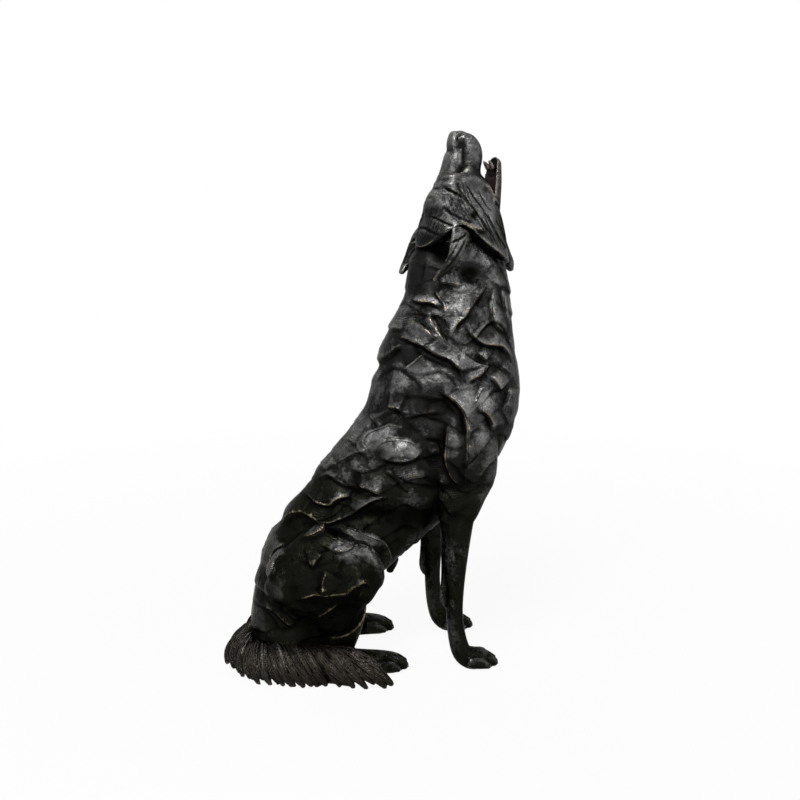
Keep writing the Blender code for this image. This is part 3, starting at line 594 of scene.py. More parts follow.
def tail_lock_paths():
    """Locks of hair that run from the tail's top out over its side, and end in points near the floor."""
    path = spline(at(TAIL_AT, TAIL), TAIL_SPANS)
    along = np.gradient(path[:, :3], axis=0)
    made = []
    for k in range(TAIL_LOCKS):
        chance = scatter(np.array([[k, 0, 0]] * 4) + np.eye(4, 3), 7)
        step = k + LOCK_SWAY[0] * (chance[0] - 0.5)
        share = TAIL_LOCKS_FROM + (TAIL_LOCKS_TO - TAIL_LOCKS_FROM) * step / (TAIL_LOCKS - 1)
        spot = path[int(share * (len(path) - 1))]
        ahead = along[int(share * (len(path) - 1))] * (1, 1, 0)
        ahead /= np.linalg.norm(ahead)
        out = np.array([ahead[1], -ahead[0], 0])
        run = np.interp(share, (0, TAIL_LOCKS_LONG), TAIL_LOCK_RUN) * swayed(chance[1], LOCK_SWAY[1])
        flare = spot[4] * np.interp(share, *TAIL_LOCK_FLARE)
        size = TAIL_LOCK_SIZE * swayed(chance[2], LOCK_SWAY[2])
        high = swayed(chance[3], LOCK_SWAY[3])
        stations = []
        for forward, aside, up, thick in TAIL_LOCK:
            centre = spot[:3] + ahead * forward * run + out * aside * flare
            stations.append((*centre[:2], centre[2] + up * high * spot[3], size * thick, size * thick))
        made.append(stations)
    return made


def vectors(mesh, key):
    out = np.empty(len(mesh.vertices) * 3)
    mesh.vertices.foreach_get(key, out)
    return out.reshape(-1, 3)


def coordinates(mesh):
    return vectors(mesh, "co") / MM


def normals(mesh):
    return vectors(mesh, "normal")


def put_coordinates(mesh, points):
    mesh.vertices.foreach_set("co", (points * MM).ravel())
    mesh.update()


def smooth_step(t):
    t = np.clip(t, 0, 1)
    return t * t * (3 - 2 * t)


def side_view(points):
    """x and z of each point. On the left side they drift in waves, so the two sides aren't mirror images."""
    x, z = points[:, 0], points[:, 2]
    drift = FAR_SIDE_DRIFT * smooth_step(points[:, 1] / DRIFT_FROM)
    return np.column_stack([x + drift * np.sin(z / 13 + 1) + drift * SECOND_WAVE * np.sin(z / 29),
                            z + drift * np.sin(x / 11) + drift * SECOND_WAVE * np.sin(x / 31 + 2)])


def to_line(view, line):
    """Signed distance to a line, positive on its left, and how far along it, for each point near it."""
    line = np.array(line, float)
    lengths = np.linalg.norm(np.diff(line, axis=0), axis=1)
    starts = np.append(0, np.cumsum(lengths))
    best = np.full(len(view), np.inf)
    signed, share = np.zeros(len(view)), np.zeros(len(view))
    for a, b, length, start in zip(line, line[1:], lengths, starts):
        d = (b - a) / length
        rel = view - a
        t = np.clip(rel @ d, 0, length)
        away = rel - t[:, None] * d
        dist = np.hypot(away[:, 0], away[:, 1])
        side = np.where(d[0] * rel[:, 1] - d[1] * rel[:, 0] >= 0, 1.0, -1.0)
        near = dist < best
        best = np.where(near, dist, best)
        signed = np.where(near, dist * side, signed)
        share = np.where(near, (start + t) / starts[-1], share)
    return signed, share


def close_to(view, line, reach):
    low, high = np.min(line, axis=0) - reach, np.max(line, axis=0) + reach
    return np.flatnonzero(((view > low) & (view < high)).all(axis=1))


def fine_line(line):
    """A line's points made a smooth curve."""
    return spline(line, LINE_SPANS)


def lines_near(view, lines, reach, fade):
    """For each line: its own number, fading out at both ends, for the points near it, and their distance."""
    for amount, line in lines:
        curve = fine_line(line)
        near = close_to(view, curve, reach)
        d, share = to_line(view[near], curve)
        yield near, amount * (smooth_step(share / fade) * smooth_step((1 - share) / fade)), d


def grooves(view, lines):
    lift = np.zeros(len(view))
    for near, depth, d in lines_near(view, lines, 4 * GROOVE_WIDTH, GROOVE_FADE):
        lift[near] -= depth * np.exp(-(d / GROOVE_WIDTH) ** 2)
    return lift


def plates(view, lines):
    """How far the plates' edges lift each point: a crisp rim, a slope below it and a trough beyond."""
    lift = np.zeros(len(view))
    for near, height, d in lines_near(view, lines, 3 * PLATE_REACH, PLATE_FADE):
        over = PLATE_RISE * np.exp(-np.maximum(d, 0) / PLATE_REACH)
        under = -PLATE_DROP * np.exp(np.minimum(d, 0) / DROP_REACH)
        slope = np.clip(d / EDGE + 1, 0, 1) ** 2
        lift[near] += height * (under + (over - under) * slope)
    return lift


def from_middle(view, x, z, length, height):
    """How far each point lies from the middle of a round patch, squared, in the patch's own half sizes."""
    return ((view[:, 0] - x) / length) ** 2 + ((view[:, 1] - z) / height) ** 2


def hollows(view, rows):
    lift = np.zeros(len(view))
    for *patch, depth in rows:
        lift -= depth * np.exp(-from_middle(view, *patch))
    return lift


def scatter(cell, seed):
    """A number from 0 to 1 for each cell of a grid, the same in every run."""
    return np.modf(np.abs(np.sin(cell @ MIX_WAY + seed) * MIX_SIZE))[0]


def tile_grid(points):
    """Each point in the tiles' grid, which is warped so that no two tiles are alike."""
    q = points / (TILE_SIZE * np.array(TILE_SHAPE))
    upward = np.sin(2.7 * q[:, 0] + 1.3 * q[:, 1]) + 0.5 * np.sin(4.9 * q[:, 0])
    return q + TILE_WAVE * np.column_stack([np.sin(2.3 * q[:, 2] + q[:, 1]), np.sin(2.1 * q[:, 0]), upward])


def tiles_near(points):
    """The tiles that may reach the points: each one's place in the grid, and the way from its middle."""
    q = tile_grid(points)
    start, chance = TILE_MIDDLE
    for step in np.ndindex(3, 3, 3):
        cell = np.floor(q) + step - 1
        yield cell, q - (cell + start + chance * np.column_stack([scatter(cell, n) for n in (1, 2, 3)]))


def nearest_tile(points):
    """The place in the grid of each point's own tile."""
    nearest = np.full(len(points), np.inf)
    tile = np.zeros_like(points)
    for cell, way in tiles_near(points):
        dist = np.linalg.norm(way, axis=1)
        closer = dist < nearest
        nearest = np.where(closer, dist, nearest)
        tile = np.where(closer[:, None], cell, tile)
    return tile


def head_relief(points):
    view = head_frame(points)[:, [0, 2]]
    return plates(view, HEAD_PLATES) + grooves(view, HEAD_GROOVES) + hollows(view, HEAD_HOLLOWS)


def trim_head(head):
    """Draws the head in below the edge of its hair, then turns it on the neck."""
    points = coordinates(head.data)
    d, _ = to_line(points[:, [0, 2]], fine_line(RIM))
    edge = RIM_RISE * np.exp(-np.maximum(d, 0) / PLATE_REACH)
    lift = np.where(d > 0, edge, -RIM_DROP * smooth_step(-d / RIM_EDGE))
    put_coordinates(head.data, in_place(points + normals(head.data) * lift[:, None]))


def head_turn():
    return np.array(Matrix.Rotation(math.radians(HEAD_TURN), 3, "Z"))


def in_place(points):
    """Points of the head's own frame, turned and set on the neck."""
    return points @ head_turn().T + HEAD_AT


def head_frame(points):
    """The reverse of in_place."""
    return (points - HEAD_AT) @ head_turn()


def head_pieces(pieces):
    return [(in_place(points), faces) for points, faces in pieces]


def body_masses():
    neck = at(HEAD_AT, NECK)
    return [loft(TORSO + neck)] + pair(at(HIND_AT, THIGH)) + pair(at(FORE_AT, SHOULDER))


def head_masses():
    return [loft(SKULL), loft(MUZZLE, square=MUZZLE_SQUARE), loft(NOSE)] + pair(BROW)


def added(name, data):
    """A new object in the scene."""
    made = bpy.data.objects.new(name, data)
    bpy.context.scene.collection.objects.link(made)
    return made


def mesh_object(name, pieces):
    """One object of several lofts, still loose inside."""
    points, faces, base = [], [], 0
    for p, f in pieces:
        points.append(p * MM)
        faces += [tuple(base + i for i in face) for face in f]
        base += len(p)
    mesh = bpy.data.meshes.new(name)
    mesh.from_pydata(np.vstack(points).tolist(), [], faces)
    return added(name, mesh)


def evaluated(made):
    """An object's mesh with its modifiers applied."""
    bpy.context.view_layer.update()
    return bpy.data.meshes.new_from_object(made.evaluated_get(bpy.context.evaluated_depsgraph_get()))


def settle(made):
    """Applies an object's modifiers."""
    mesh = evaluated(made)
    made.modifiers.clear()
    made.data = mesh
    return made


def fused(made, step, softness):
    """One skin round all of an object's pieces, smoothed over softness, in square millimetres."""
    skin = made.modifiers.new("skin", "REMESH")
    skin.mode = "VOXEL"
    skin.voxel_size = step
    soft = made.modifiers.new("soft", "SMOOTH")
    soft.factor = 0.5
    soft.iterations = max(1, round(softness / (step / MM) ** 2))
    return settle(made)


def joined(name, objects):
    """One object of several, still loose inside."""
    shape = bmesh.new()
    for each in objects:
        shape.from_mesh(each.data)
        bpy.data.objects.remove(each)
    mesh = bpy.data.meshes.new(name)
    shape.to_mesh(mesh)
    shape.free()
    return added(name, mesh)


def surface_of(made, placed=False):
    """A copy of an object's surface to measure against, in the tables' own frame."""
    shape = bmesh.new()
    shape.from_mesh(made.data)
    if placed:
        bmesh.ops.translate(shape, verts=shape.verts, vec=-Vector(STAND) * MM)
    tree = BVHTree.FromBMesh(shape)
    shape.free()
    return tree


def carve(cast, surface, relief):
    """Carves a relief into the stretches of the casting that still lie on one of its masses."""
    points = coordinates(cast.data)
    hits = [surface.find_nearest(p * MM, SURFACE_REACH * MM)[3] for p in points]
    away = np.array([SURFACE_REACH if h is None else h / MM for h in hits])
    own = smooth_step(2 * (1 - away / SURFACE_REACH))
    put_coordinates(cast.data, points + normals(cast.data) * (own * relief(points))[:, None])


def thin(cast, triangles):
    """Leaves a casting fewer triangles, and cuts it off at the floor."""
    fewer = cast.modifiers.new("fewer", "DECIMATE")
    fewer.ratio = min(1, triangles / (2 * len(cast.data.polygons)))
    settle(cast)
    shape = bmesh.new()
    shape.from_mesh(cast.data)
    everything = shape.verts[:] + shape.edges[:] + shape.faces[:]
    bmesh.ops.bisect_plane(shape, geom=everything, plane_co=(0, 0, 0), plane_no=(0, 0, 1), clear_inner=True)
    bmesh.ops.holes_fill(shape, edges=[e for e in shape.edges if e.is_boundary])
    shape.to_mesh(cast.data)
    shape.free()


def store(mesh, name, values):
    layer = mesh.attributes.get(name) or mesh.attributes.new(name, "FLOAT", "POINT")
    layer.data.foreach_set("value", np.asarray(values, np.float32))


def neighbour_mean(values, ends, counts):
    total = np.zeros_like(values)
    for k in range(values.shape[1]):
        total[:, k] = np.bincount(ends[:, 0], values[ends[:, 1], k], len(values))
        total[:, k] += np.bincount(ends[:, 1], values[ends[:, 0], k], len(values))
    return total / counts[:, None]


def weather_and_painted_light(mesh):
    """Attributes that the patina reads: how far each point stands out of its surroundings, near and wide. The
    wide one also carries painted light: more where the surface faces up and at the painted highlights, less
    where it faces down and at the painted shade.
    """
    points, facing = coordinates(mesh), normals(mesh)
    ends = np.empty(len(mesh.edges) * 2, np.int32)
    mesh.edges.foreach_get("vertices", ends)
    ends = ends.reshape(-1, 2)
    counts = np.maximum(np.bincount(ends.ravel(), minlength=len(points)), 1)
    smooth = points.copy()
    for turn in range(WIDE_TURNS):
        smooth = neighbour_mean(smooth, ends, counts)
        if turn == NEAR_TURNS - 1:
            near = ((points - smooth) * facing).sum(axis=1)
    wide = ((points - smooth) * facing).sum(axis=1)
    store(mesh, "crest", near / np.std(near))
    # Painted light: up-facing surfaces and the highlight patches count as standing out, down-facing ones and
    # the shade patches as sunk.
    swell = wide / np.std(wide) + UP_PAINTED_LIGHT * facing[:, 2]
    store(mesh, "swell", swell - hollows(side_view(points), PAINTED_LIGHT_PATCHES))


def place(made, finish, replaces=False):
    """Stands a finished piece where the solid is, and says what it rides on."""
    made.data.transform(Matrix.Translation(Vector(STAND) * MM))
    made.data.materials.clear()
    made.data.materials.append(finish)
    made.data.shade_smooth()
    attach(made, "root")
    if replaces:
        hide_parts("wolf")


class ShaderNodes:
    """A short way to write a shader: every call adds a node and returns its output."""

    def __init__(self, owner):
        self.tree = owner.node_tree

    def node(self, kind, inputs=(), out=0, **settings):
        made = self.tree.nodes.new(kind)
        for key, value in settings.items():
            setattr(made, key, value)
        for key, value in dict(inputs).items():
            if isinstance(value, bpy.types.NodeSocket):
                self.tree.links.new(value, made.inputs[key])
            else:
                made.inputs[key].default_value = value
        return made.outputs[out]

    def math(self, operation, *values, clamp=False):
        return self.node("ShaderNodeMath", enumerate(values), operation=operation, use_clamp=clamp)

    def attribute(self, name):
        return self.node("ShaderNodeAttribute", out="Fac", attribute_name=name)

    def object_place(self):
        return self.node("ShaderNodeTexCoord", out="Object")

    def noise(self, size, detail, rough):
        inputs = {"Scale": 1 / (size * MM), "Detail": detail, "Roughness": rough, "Distortion": 0.0,
                  "Vector": self.object_place()}
        return self.node("ShaderNodeTexNoise", inputs, out="Fac")

    def spread(self, value, low, high, to_low=0.0, to_high=1.0):
        inputs = {"Value": value, "From Min": low, "From Max": high, "To Min": to_low, "To Max": to_high}
        return self.node("ShaderNodeMapRange", inputs)

    def mix(self, share, first, second):
        """One colour over another: the first where the share is 0."""
        return self.node("ShaderNodeMix", {0: share, 6: first, 7: second}, out=2, data_type="RGBA")

    def broken(self, value, speck, amount):
        """A value with its border broken up by the specks."""
        return self.math("ADD", value, self.math("MULTIPLY", self.math("SUBTRACT", speck, 0.5), amount))

    def bump(self, height, depth, under=None):
        inputs = {"Height": height, "Distance": depth * MM, "Strength": 1.0}
        if under is not None:
            inputs["Normal"] = under
        return self.node("ShaderNodeBump", inputs)

    def seen_itself(self):
        """1 on a ray that shows a thing itself: from the camera, off a gloss or through something clear."""
        rays = [self.node("ShaderNodeLightPath", out=f"Is {kind} Ray")
                for kind in ("Camera", "Glossy", "Transmission")]
        return self.math("ADD", self.math("ADD", rays[0], rays[1]), rays[2], clamp=True)


def patina(name, coat, low_coat):
    """Waxed black patina: black in the hollows, rubbed grey on the swells and brown metal on the edges. The
    black also serves as painted shade where the surface faces down and at shaded patches, the rubbed grey as
    painted highlight where it faces up and at highlight patches, and the coat is darker low down as painted
    shade.
    """
    colours = bpy.context.scene.wolf_patina
    finish = bpy.data.materials.new(name)
    finish.use_nodes = True
    n = ShaderNodes(finish)
    shader = finish.node_tree.nodes["Principled BSDF"]
    height_up = n.node("ShaderNodeSeparateXYZ", {"Vector": n.object_place()}, out="Z")
    speck = n.noise(*SPECK)
    crest = n.attribute("crest")
    swell = n.attribute("swell")

    # Below this height the coat turns olive: a greener patina, and darker as painted shade.
    ground = n.mix(n.spread(height_up, *OLIVE_AND_SHADE_BELOW), coat, low_coat)
    ground = n.mix(n.spread(n.noise(*CLOUD), *CLOUD_RANGE), ground, colours.hollow_and_shade)
    # Rubbed grey on the swells, and painted highlights where the surface faces up and at the highlight
    # patches, painted fainter low down as light from above.
    rubbed_and_lit = n.spread(n.broken(swell, speck, RUBBED_AND_HIGHLIGHT_BREAK), *RUBBED_AND_HIGHLIGHT_RANGE)
    rubbed_and_lit = n.math("MULTIPLY", rubbed_and_lit, n.spread(height_up, *LIT_ABOVE))
    ground = n.mix(rubbed_and_lit, ground, colours.rubbed_and_highlight)
    # Black patina in the hollows, and painted shade where the surface faces down and at the shade patches.
    ground = n.mix(n.spread(n.math("ADD", swell, crest), *HOLLOW_AND_SHADE_RANGE), ground, colours.hollow_and_shade)
    ground = n.mix(n.spread(n.broken(crest, speck, BARE_BREAK), *BARE_RANGE), ground, colours.edge)
    ground = n.mix(n.attribute("inside"), ground, colours.mouth)
    n.tree.links.new(ground, shader.inputs["Base Color"])

    rough = n.math("ADD", n.spread(speck, *WAXED_RANGE), n.spread(swell, *DULL_RANGE))
    n.tree.links.new(rough, shader.inputs["Roughness"])
    shader.inputs["Metallic"].default_value = 1.0
    shader.inputs["Specular Tint"].default_value = EDGE_TINT

    grain = n.math("DIVIDE", n.attribute("grain"), colours.file_marks / MM)
    wander = n.math("MULTIPLY", n.noise(*WANDER), MARKS_WANDER)
    marks = n.math("SINE", n.math("MULTIPLY", n.math("ADD", grain, wander), 2 * math.pi))
    marks = n.math("MULTIPLY", marks, n.spread(n.noise(*FILED_PATCH), *FILED_RANGE))
    dents = n.bump(n.noise(*DENT), DENT_DEPTH)
    pits = n.bump(n.math("ADD", speck, n.math("MULTIPLY", n.noise(*FINE), 0.5)), PIT_DEPTH, under=dents)
    filed = n.bump(marks, FILE_DEPTH, under=pits)
    n.tree.links.new(filed, shader.inputs["Normal"])
    return finish


def bronze(kind):
    """The patina of this name, made once."""
    colours = bpy.context.scene.wolf_patina
    coats = {"bronze_coat": (colours.coat, colours.olive_and_shade), "bronze_tail": (colours.brown, colours.brown)}
    return bpy.data.materials.get(kind) or patina(kind, *coats[kind])


def tiles(points):
    """Small pillows down the coat, each tilted out at its lower edge and blended into the next."""
    total, weight = np.zeros(len(points)), np.zeros(len(points))
    for cell, way in tiles_near(points):
        r2 = (way ** 2).sum(axis=1)
        pillow = TILE_TOP - r2 - way[:, 2] - TILE_LEAN * way[:, 0] + TILE_VARIES * (scatter(cell, 4) - 0.5)
        share = np.exp(-TILE_SHARP * np.sqrt(r2))
        total += share * pillow
        weight += share
    return TILE_TILT * total / weight


def modelled(points):
    """The uneven ground that the modeller's thumb left."""
    return np.array([WAVE_HEIGHT * noise.noise(Vector(p / WAVE_SIZE)) for p in points])


def rough_ground(points):
    """The tiles and the modeller's thumb marks, fainter in the calm places."""
    calm = np.ones(len(points))
    for *patch, share in TILE_CALM:
        calm *= 1 - share * np.exp(-from_middle(points[:, [0, 2]], *patch) ** 2)
    return calm * (tiles(points) + modelled(points))


def body_relief(points):
    view = side_view(points)
    return plates(view, BODY_PLATES) + hollows(view, BODY_HOLLOWS) + rough_ground(points)


def tile_grain(points):
    """How far along its own plate's file marks each point lies."""
    turn = 2 * math.pi * scatter(nearest_tile(points), 5)
    way = np.column_stack([np.cos(turn), 0.3 * np.sin(3 * turn), np.sin(turn)])
    return (points * way).sum(axis=1)


def ear_relief(points):
    return grooves(head_frame(points)[:, [0, 2]], EAR_GROOVES)


def mouth_inside(points):
    away = (head_frame(points) - MOUTH_AT) / MOUTH_REACH
    return np.exp(-(away ** 2).sum(axis=1)) * (away[:, 2] > MOUTH_BOTTOM)


def head_strands():
    """Side-view lines of the head's hair: each family runs evenly from its first line to its last."""
    lines = []
    for number, (count, first, last) in enumerate(HEAD_FAMILIES):
        first, last = spline(first, HAIR_SPANS), spline(last, HAIR_SPANS)
        along = np.linspace(0, 1, len(first))[:, None]
        for k in range(count):
            share = k / (count - 1)
            sway = HAIR_SWAY * np.sin(5 * along + 2.4 * k + number)
            line = first * (1 - share) + last * share + sway
            cut = round(HAIR_CUT * scatter(np.array([[number, k, 0]]), 6)[0])
            lines.append(line[cut:len(line) - (HAIR_CUT - cut)])
    return lines


def tail_strands():
    """Strands along the outer side of each lock of the tail."""
    runs = []
    turns = [STRAND_TURNS] * TAIL_LOCKS + [TIP_TURNS] * len(TAIL_TIPS)
    for stations, around in zip(tail_lock_paths() + [at(TAIL_AT, tip) for tip in TAIL_TIPS], turns):
        path = spline(stations)
        centres, size = path[:, :3], path[:, 3:4]
        ways = headings(centres)
        side = np.cross((0, 0, 1), ways)
        side /= np.linalg.norm(side, axis=1)[:, None]
        up = np.cross(ways, side)
        for turn in np.radians(around):
            run = centres + size * (math.cos(turn) * side + math.sin(turn) * up)
            runs.append(run[run[:, 2] > STRAND_FLOOR])
    return [run for run in runs if len(run) >= SHORTEST_RUN]


def claw_paths():
    paths = []
    for stand, paw, back, aside in ((HIND_AT, HIND_TOES_AT, 0, HIND_SHIFT),
                                    (FORE_AT, FORE_TOES_AT, FORE_STAGGER, 0)):
        for x, y, size in TOES:
            for side in (-1, 1):
                front = stand[0] + paw[0] + x + size * CLAW_AT + (back if side > 0 else 0)
                across = side * (stand[1] + paw[1] + y) + aside
                paths.append([(front + ahead, across, up, share) for ahead, up, share in CLAW])
    return paths


def lip_line(line, side):
    """A plate's lower edge in side view, just inside it, as it lies on that side of the body."""
    curve = fine_line(line)
    way = headings(curve)
    curve = curve + LIP_INSET * np.column_stack([-way[:, 1], way[:, 0]])
    flat = np.column_stack([curve[:, 0], np.full(len(curve), side * FAR_OUT), curve[:, 1]])
    return curve - (side_view(flat) - curve)


def body_pieces():
    aside = (0, HIND_SHIFT, 0)
    back = (FORE_STAGGER, 0, 0)
    made = pair(at(HIND_AT, SHANK), both=aside) + pair(at(HIND_AT, HIND_PAW), both=aside)
    made += toes(HIND_AT, HIND_TOES_AT, both=aside)
    made += pair(at(FORE_AT, FORELEG), far=back) + pair(at(FORE_AT, FEATHER), far=back)
    made += toes(FORE_AT, FORE_TOES_AT, far=back)
    made.append(loft(BELLY_TUFT))
    return made


def tail_pieces():
    made = [loft(at(TAIL_AT, TAIL), across=None)]
    made += [loft(stations, across=None, sides=LOCK_SIDES) for stations in tail_lock_paths()]
    return made + [loft(at(TAIL_AT, tip), across=None) for tip in TAIL_TIPS]


def strand_curves(name, strands):
    """Curves with a radius at every point, from lists of x, y, z and a share of the radius."""
    curve = bpy.data.curves.new(name, "CURVE")
    curve.dimensions = "3D"
    for points in strands:
        line = curve.splines.new("POLY")
        line.points.add(len(points) - 1)
        for spot, (x, y, z, share) in zip(line.points, points):
            spot.co = (x * MM, y * MM, z * MM, 1)
            spot.radius = share
    return added(name, curve)


def strand_tree():
    """Geometry nodes that sweep a round section along every curve, thinner where its radius is."""
    tree = bpy.data.node_groups.get("swept_strands")
    if tree:
        return tree
    tree = bpy.data.node_groups.new("swept_strands", "GeometryNodeTree")
    face = tree.interface
    face.new_socket("Geometry", in_out="INPUT", socket_type="NodeSocketGeometry")
    radius = face.new_socket("Radius", in_out="INPUT", socket_type="NodeSocketFloat")
    radius.subtype = "DISTANCE"
    face.new_socket("Sides", in_out="INPUT", socket_type="NodeSocketInt")
    face.new_socket("Finish", in_out="INPUT", socket_type="NodeSocketMaterial")
    face.new_socket("Geometry", in_out="OUTPUT", socket_type="NodeSocketGeometry")
    nodes = {key: tree.nodes.new(kind) for key, kind in (
        ("given", "NodeGroupInput"), ("section", "GeometryNodeCurvePrimitiveCircle"),
        ("taper", "GeometryNodeInputRadius"), ("sweep", "GeometryNodeCurveToMesh"),
        ("smooth", "GeometryNodeSetShadeSmooth"), ("whole", "GeometryNodeRealizeInstances"),
        ("coat", "GeometryNodeSetMaterial"), ("result", "NodeGroupOutput"))}
    nodes["sweep"].inputs["Fill Caps"].default_value = True
    for start, output, end, socket in (
            ("given", "Sides", "section", "Resolution"), ("given", "Radius", "section", "Radius"),
            ("given", "Geometry", "sweep", "Curve"), ("section", "Curve", "sweep", "Profile Curve"),
            ("taper", "Radius", "sweep", "Scale"), ("sweep", "Mesh", "smooth", "Geometry"),
            ("smooth", "Geometry", "whole", "Geometry"), ("whole", "Geometry", "coat", "Geometry"),
            ("given", "Finish", "coat", "Material"), ("coat", "Geometry", "result", "Geometry")):
        tree.links.new(nodes[start].outputs[output], nodes[end].inputs[socket])
    return tree


def swept(name, strands, radius, kind):
    """A piece made of strands by the tree above, as a plain mesh, in place."""
    finish = bronze(kind)
    guide = strand_curves(name + "_guides", strands)
    tree = strand_tree()
    rig = guide.modifiers.new("strands", "NODES")
    rig.node_group = tree
    inputs = {item.name: item.identifier for item in tree.interface.items_tree
              if item.item_type == "SOCKET" and item.in_out == "INPUT"}
    rig[inputs["Radius"]] = radius
    rig[inputs["Sides"]] = bpy.context.scene.wolf_detail.strand_sides
    rig[inputs["Finish"]] = finish
    mesh = evaluated(guide)
    bpy.data.objects.remove(guide)
    store(mesh, "crest", np.full(len(mesh.vertices), STRAND_CREST))
    store(mesh, "swell", np.zeros(len(mesh.vertices)))
    place(added(name, mesh), finish)


def laid(surface, line, side, turn=None):
    """A side-view line dropped on to a surface from the right, side -1, or the left, side 1, and cut where
    it jumps. On the head it is turned with the head first."""
    runs, run, last = [], [], None
    for x, z in line:
        start = Vector((x, side * FAR_OUT, z))
        way = Vector((0, -side, 0))
        if turn is not None:
            start, way = Vector(in_place(np.array(start))), Vector(turn @ np.array(way))
        hit = surface.ray_cast(start * MM, way)[0]
        if hit is None or (last is not None and (hit / MM - last).length > JUMP):
            runs.append(run)
            run = []
        last = None if hit is None else hit / MM
        if last is not None:
            run.append(tuple(last))
    return [run for run in runs + [run] if len(run) >= SHORTEST_RUN]


def tapered(run):
    """A share of the radius for each point of a run, small at both ends."""
    t = np.linspace(0, 1, len(run))
    share = np.sin(np.pi * np.clip(t, TAPER_END, 1 - TAPER_END)) ** 0.5
    return [(*point, s) for point, s in zip(run, share)]


def finish_casting(cast, triangles, kind, replaces=False, mouth=False):
    """Thins a casting, stores what its patina reads and stands it in place."""
    thin(cast, triangles)
    weather_and_painted_light(cast.data)
    points = coordinates(cast.data)
    store(cast.data, "grain", tile_grain(points))
    if mouth:
        store(cast.data, "inside", mouth_inside(points))
    place(cast, bronze(kind), replaces)


class OBJECT_OT_wolf_body(bpy.types.Operator):
    """Casts the body, legs and paws, and carves the coat"""
    bl_idname = "object.wolf_body"
    bl_label = "Body"

    def execute(self, context):
        detail = context.scene.wolf_detail
        body = fused(mesh_object("masses", body_masses()), detail.body_step, MASS_SOFTNESS)
        on_body = surface_of(body)
        loose = joined("wolf_body", [body, mesh_object("limbs", body_pieces())])
        cast = fused(loose, detail.body_step, SKIN_SOFTNESS)
        carve(cast, on_body, body_relief)
        finish_casting(cast, detail.triangles, "bronze_coat", replaces=True)
        return {"FINISHED"}


class OBJECT_OT_wolf_head(bpy.types.Operator):
    """Casts the head with its jaw, ears and beard"""
    bl_idname = "object.wolf_head"
    bl_label = "Head"

    def execute(self, context):
        detail = context.scene.wolf_detail
        head = fused(mesh_object("skull", head_masses()), detail.head_step, HEAD_SOFTNESS)
        trim_head(head)
        on_head = surface_of(head)
        ears = head_pieces([loft(FAR_EAR, across=EAR_ACROSS), pair(EAR, across=EAR_ACROSS)[1]])
        on_ears = surface_of(fused(mesh_object("ears", ears), detail.head_step, SKIN_SOFTNESS))
        small = head_pieces([loft(JAW, trough=JAW_TROUGH), loft(BEARD)] + pair(CANINE)) + ears
        loose = joined("wolf_head", [head, mesh_object("small", small)])
        cast = fused(loose, detail.head_step, SKIN_SOFTNESS)
        bpy.data.objects.remove(bpy.data.objects["ears"])
        carve(cast, on_head, head_relief)
        carve(cast, on_ears, ear_relief)
        finish_casting(cast, detail.triangles, "bronze_coat", mouth=True)
        return {"FINISHED"}


class OBJECT_OT_wolf_tail(bpy.types.Operator):
    """Casts the tail with its locks of hair"""
    bl_idname = "object.wolf_tail"
    bl_label = "Tail"

    def execute(self, context):
        detail = context.scene.wolf_detail
        cast = fused(mesh_object("wolf_tail", tail_pieces()), detail.head_step, SKIN_SOFTNESS)
        finish_casting(cast, detail.triangles // 2, "bronze_tail")
        return {"FINISHED"}


class OBJECT_OT_wolf_tail_hair(bpy.types.Operator):
    """Lays strands along the locks of the tail"""
    bl_idname = "object.wolf_tail_hair"
    bl_label = "Tail hair"

    def execute(self, context):
        strands = [tapered(run) for run in tail_strands()]
        swept("tail_hair", strands, context.scene.wolf_detail.tail_hair_radius, "bronze_tail")
        return {"FINISHED"}


class OBJECT_OT_wolf_head_hair(bpy.types.Operator):
    """Lays strands over the crown, the cheeks and the throat"""
    bl_idname = "object.wolf_head_hair"
    bl_label = "Head hair"

    def execute(self, context):
        surface = surface_of(bpy.data.objects["wolf_head"], placed=True)
        strands = []
        for line in head_strands():
            for side in (-1, 1):
                strands += [tapered(run) for run in laid(surface, line, side, turn=head_turn())]
        swept("head_hair", strands, context.scene.wolf_detail.hair_radius, "bronze_coat")
        return {"FINISHED"}


class OBJECT_OT_wolf_plate_rims(bpy.types.Operator):
    """Turns up a thin lip along each plate's lower edge"""
    bl_idname = "object.wolf_plate_rims"
    bl_label = "Plate rims"

    def execute(self, context):
        surface = surface_of(bpy.data.objects["wolf_body"], placed=True)
        strands = []
        for _, line in BODY_PLATES:
            for side in (-1, 1):
                strands += [tapered(run) for run in laid(surface, lip_line(line, side), side)]
        swept("plate_rims", strands, context.scene.wolf_detail.rim_radius, "bronze_coat")
        return {"FINISHED"}


class OBJECT_OT_wolf_claws(bpy.types.Operator):
    """Sets a claw in each toe"""
    bl_idname = "object.wolf_claws"
    bl_label = "Claws"

    def execute(self, context):
        swept("claws", claw_paths(), context.scene.wolf_detail.claw_radius, "bronze_coat")
        return {"FINISHED"}


class OBJECT_OT_wolf_studio(bpy.types.Operator):
    """Lays the pale floor, hangs the lamps and sets up the camera"""
    bl_idname = "object.wolf_studio"
    bl_label = "Studio"

    def execute(self, context):
        studio = context.scene.wolf_studio
        floor_at(FLOOR_HALF)
        middle = Vector(STAND) * MM + Vector((0, 0, MIDDLE_UP * MM))
        for name, (spot, size) in LAMPS.items():
            lamp_at(name + "_lamp", Vector(spot), size, getattr(studio, name), middle)
        room_light(studio.room)
        camera_at(middle, studio)
        context.scene.view_settings.view_transform = "Standard"
        return {"FINISHED"}


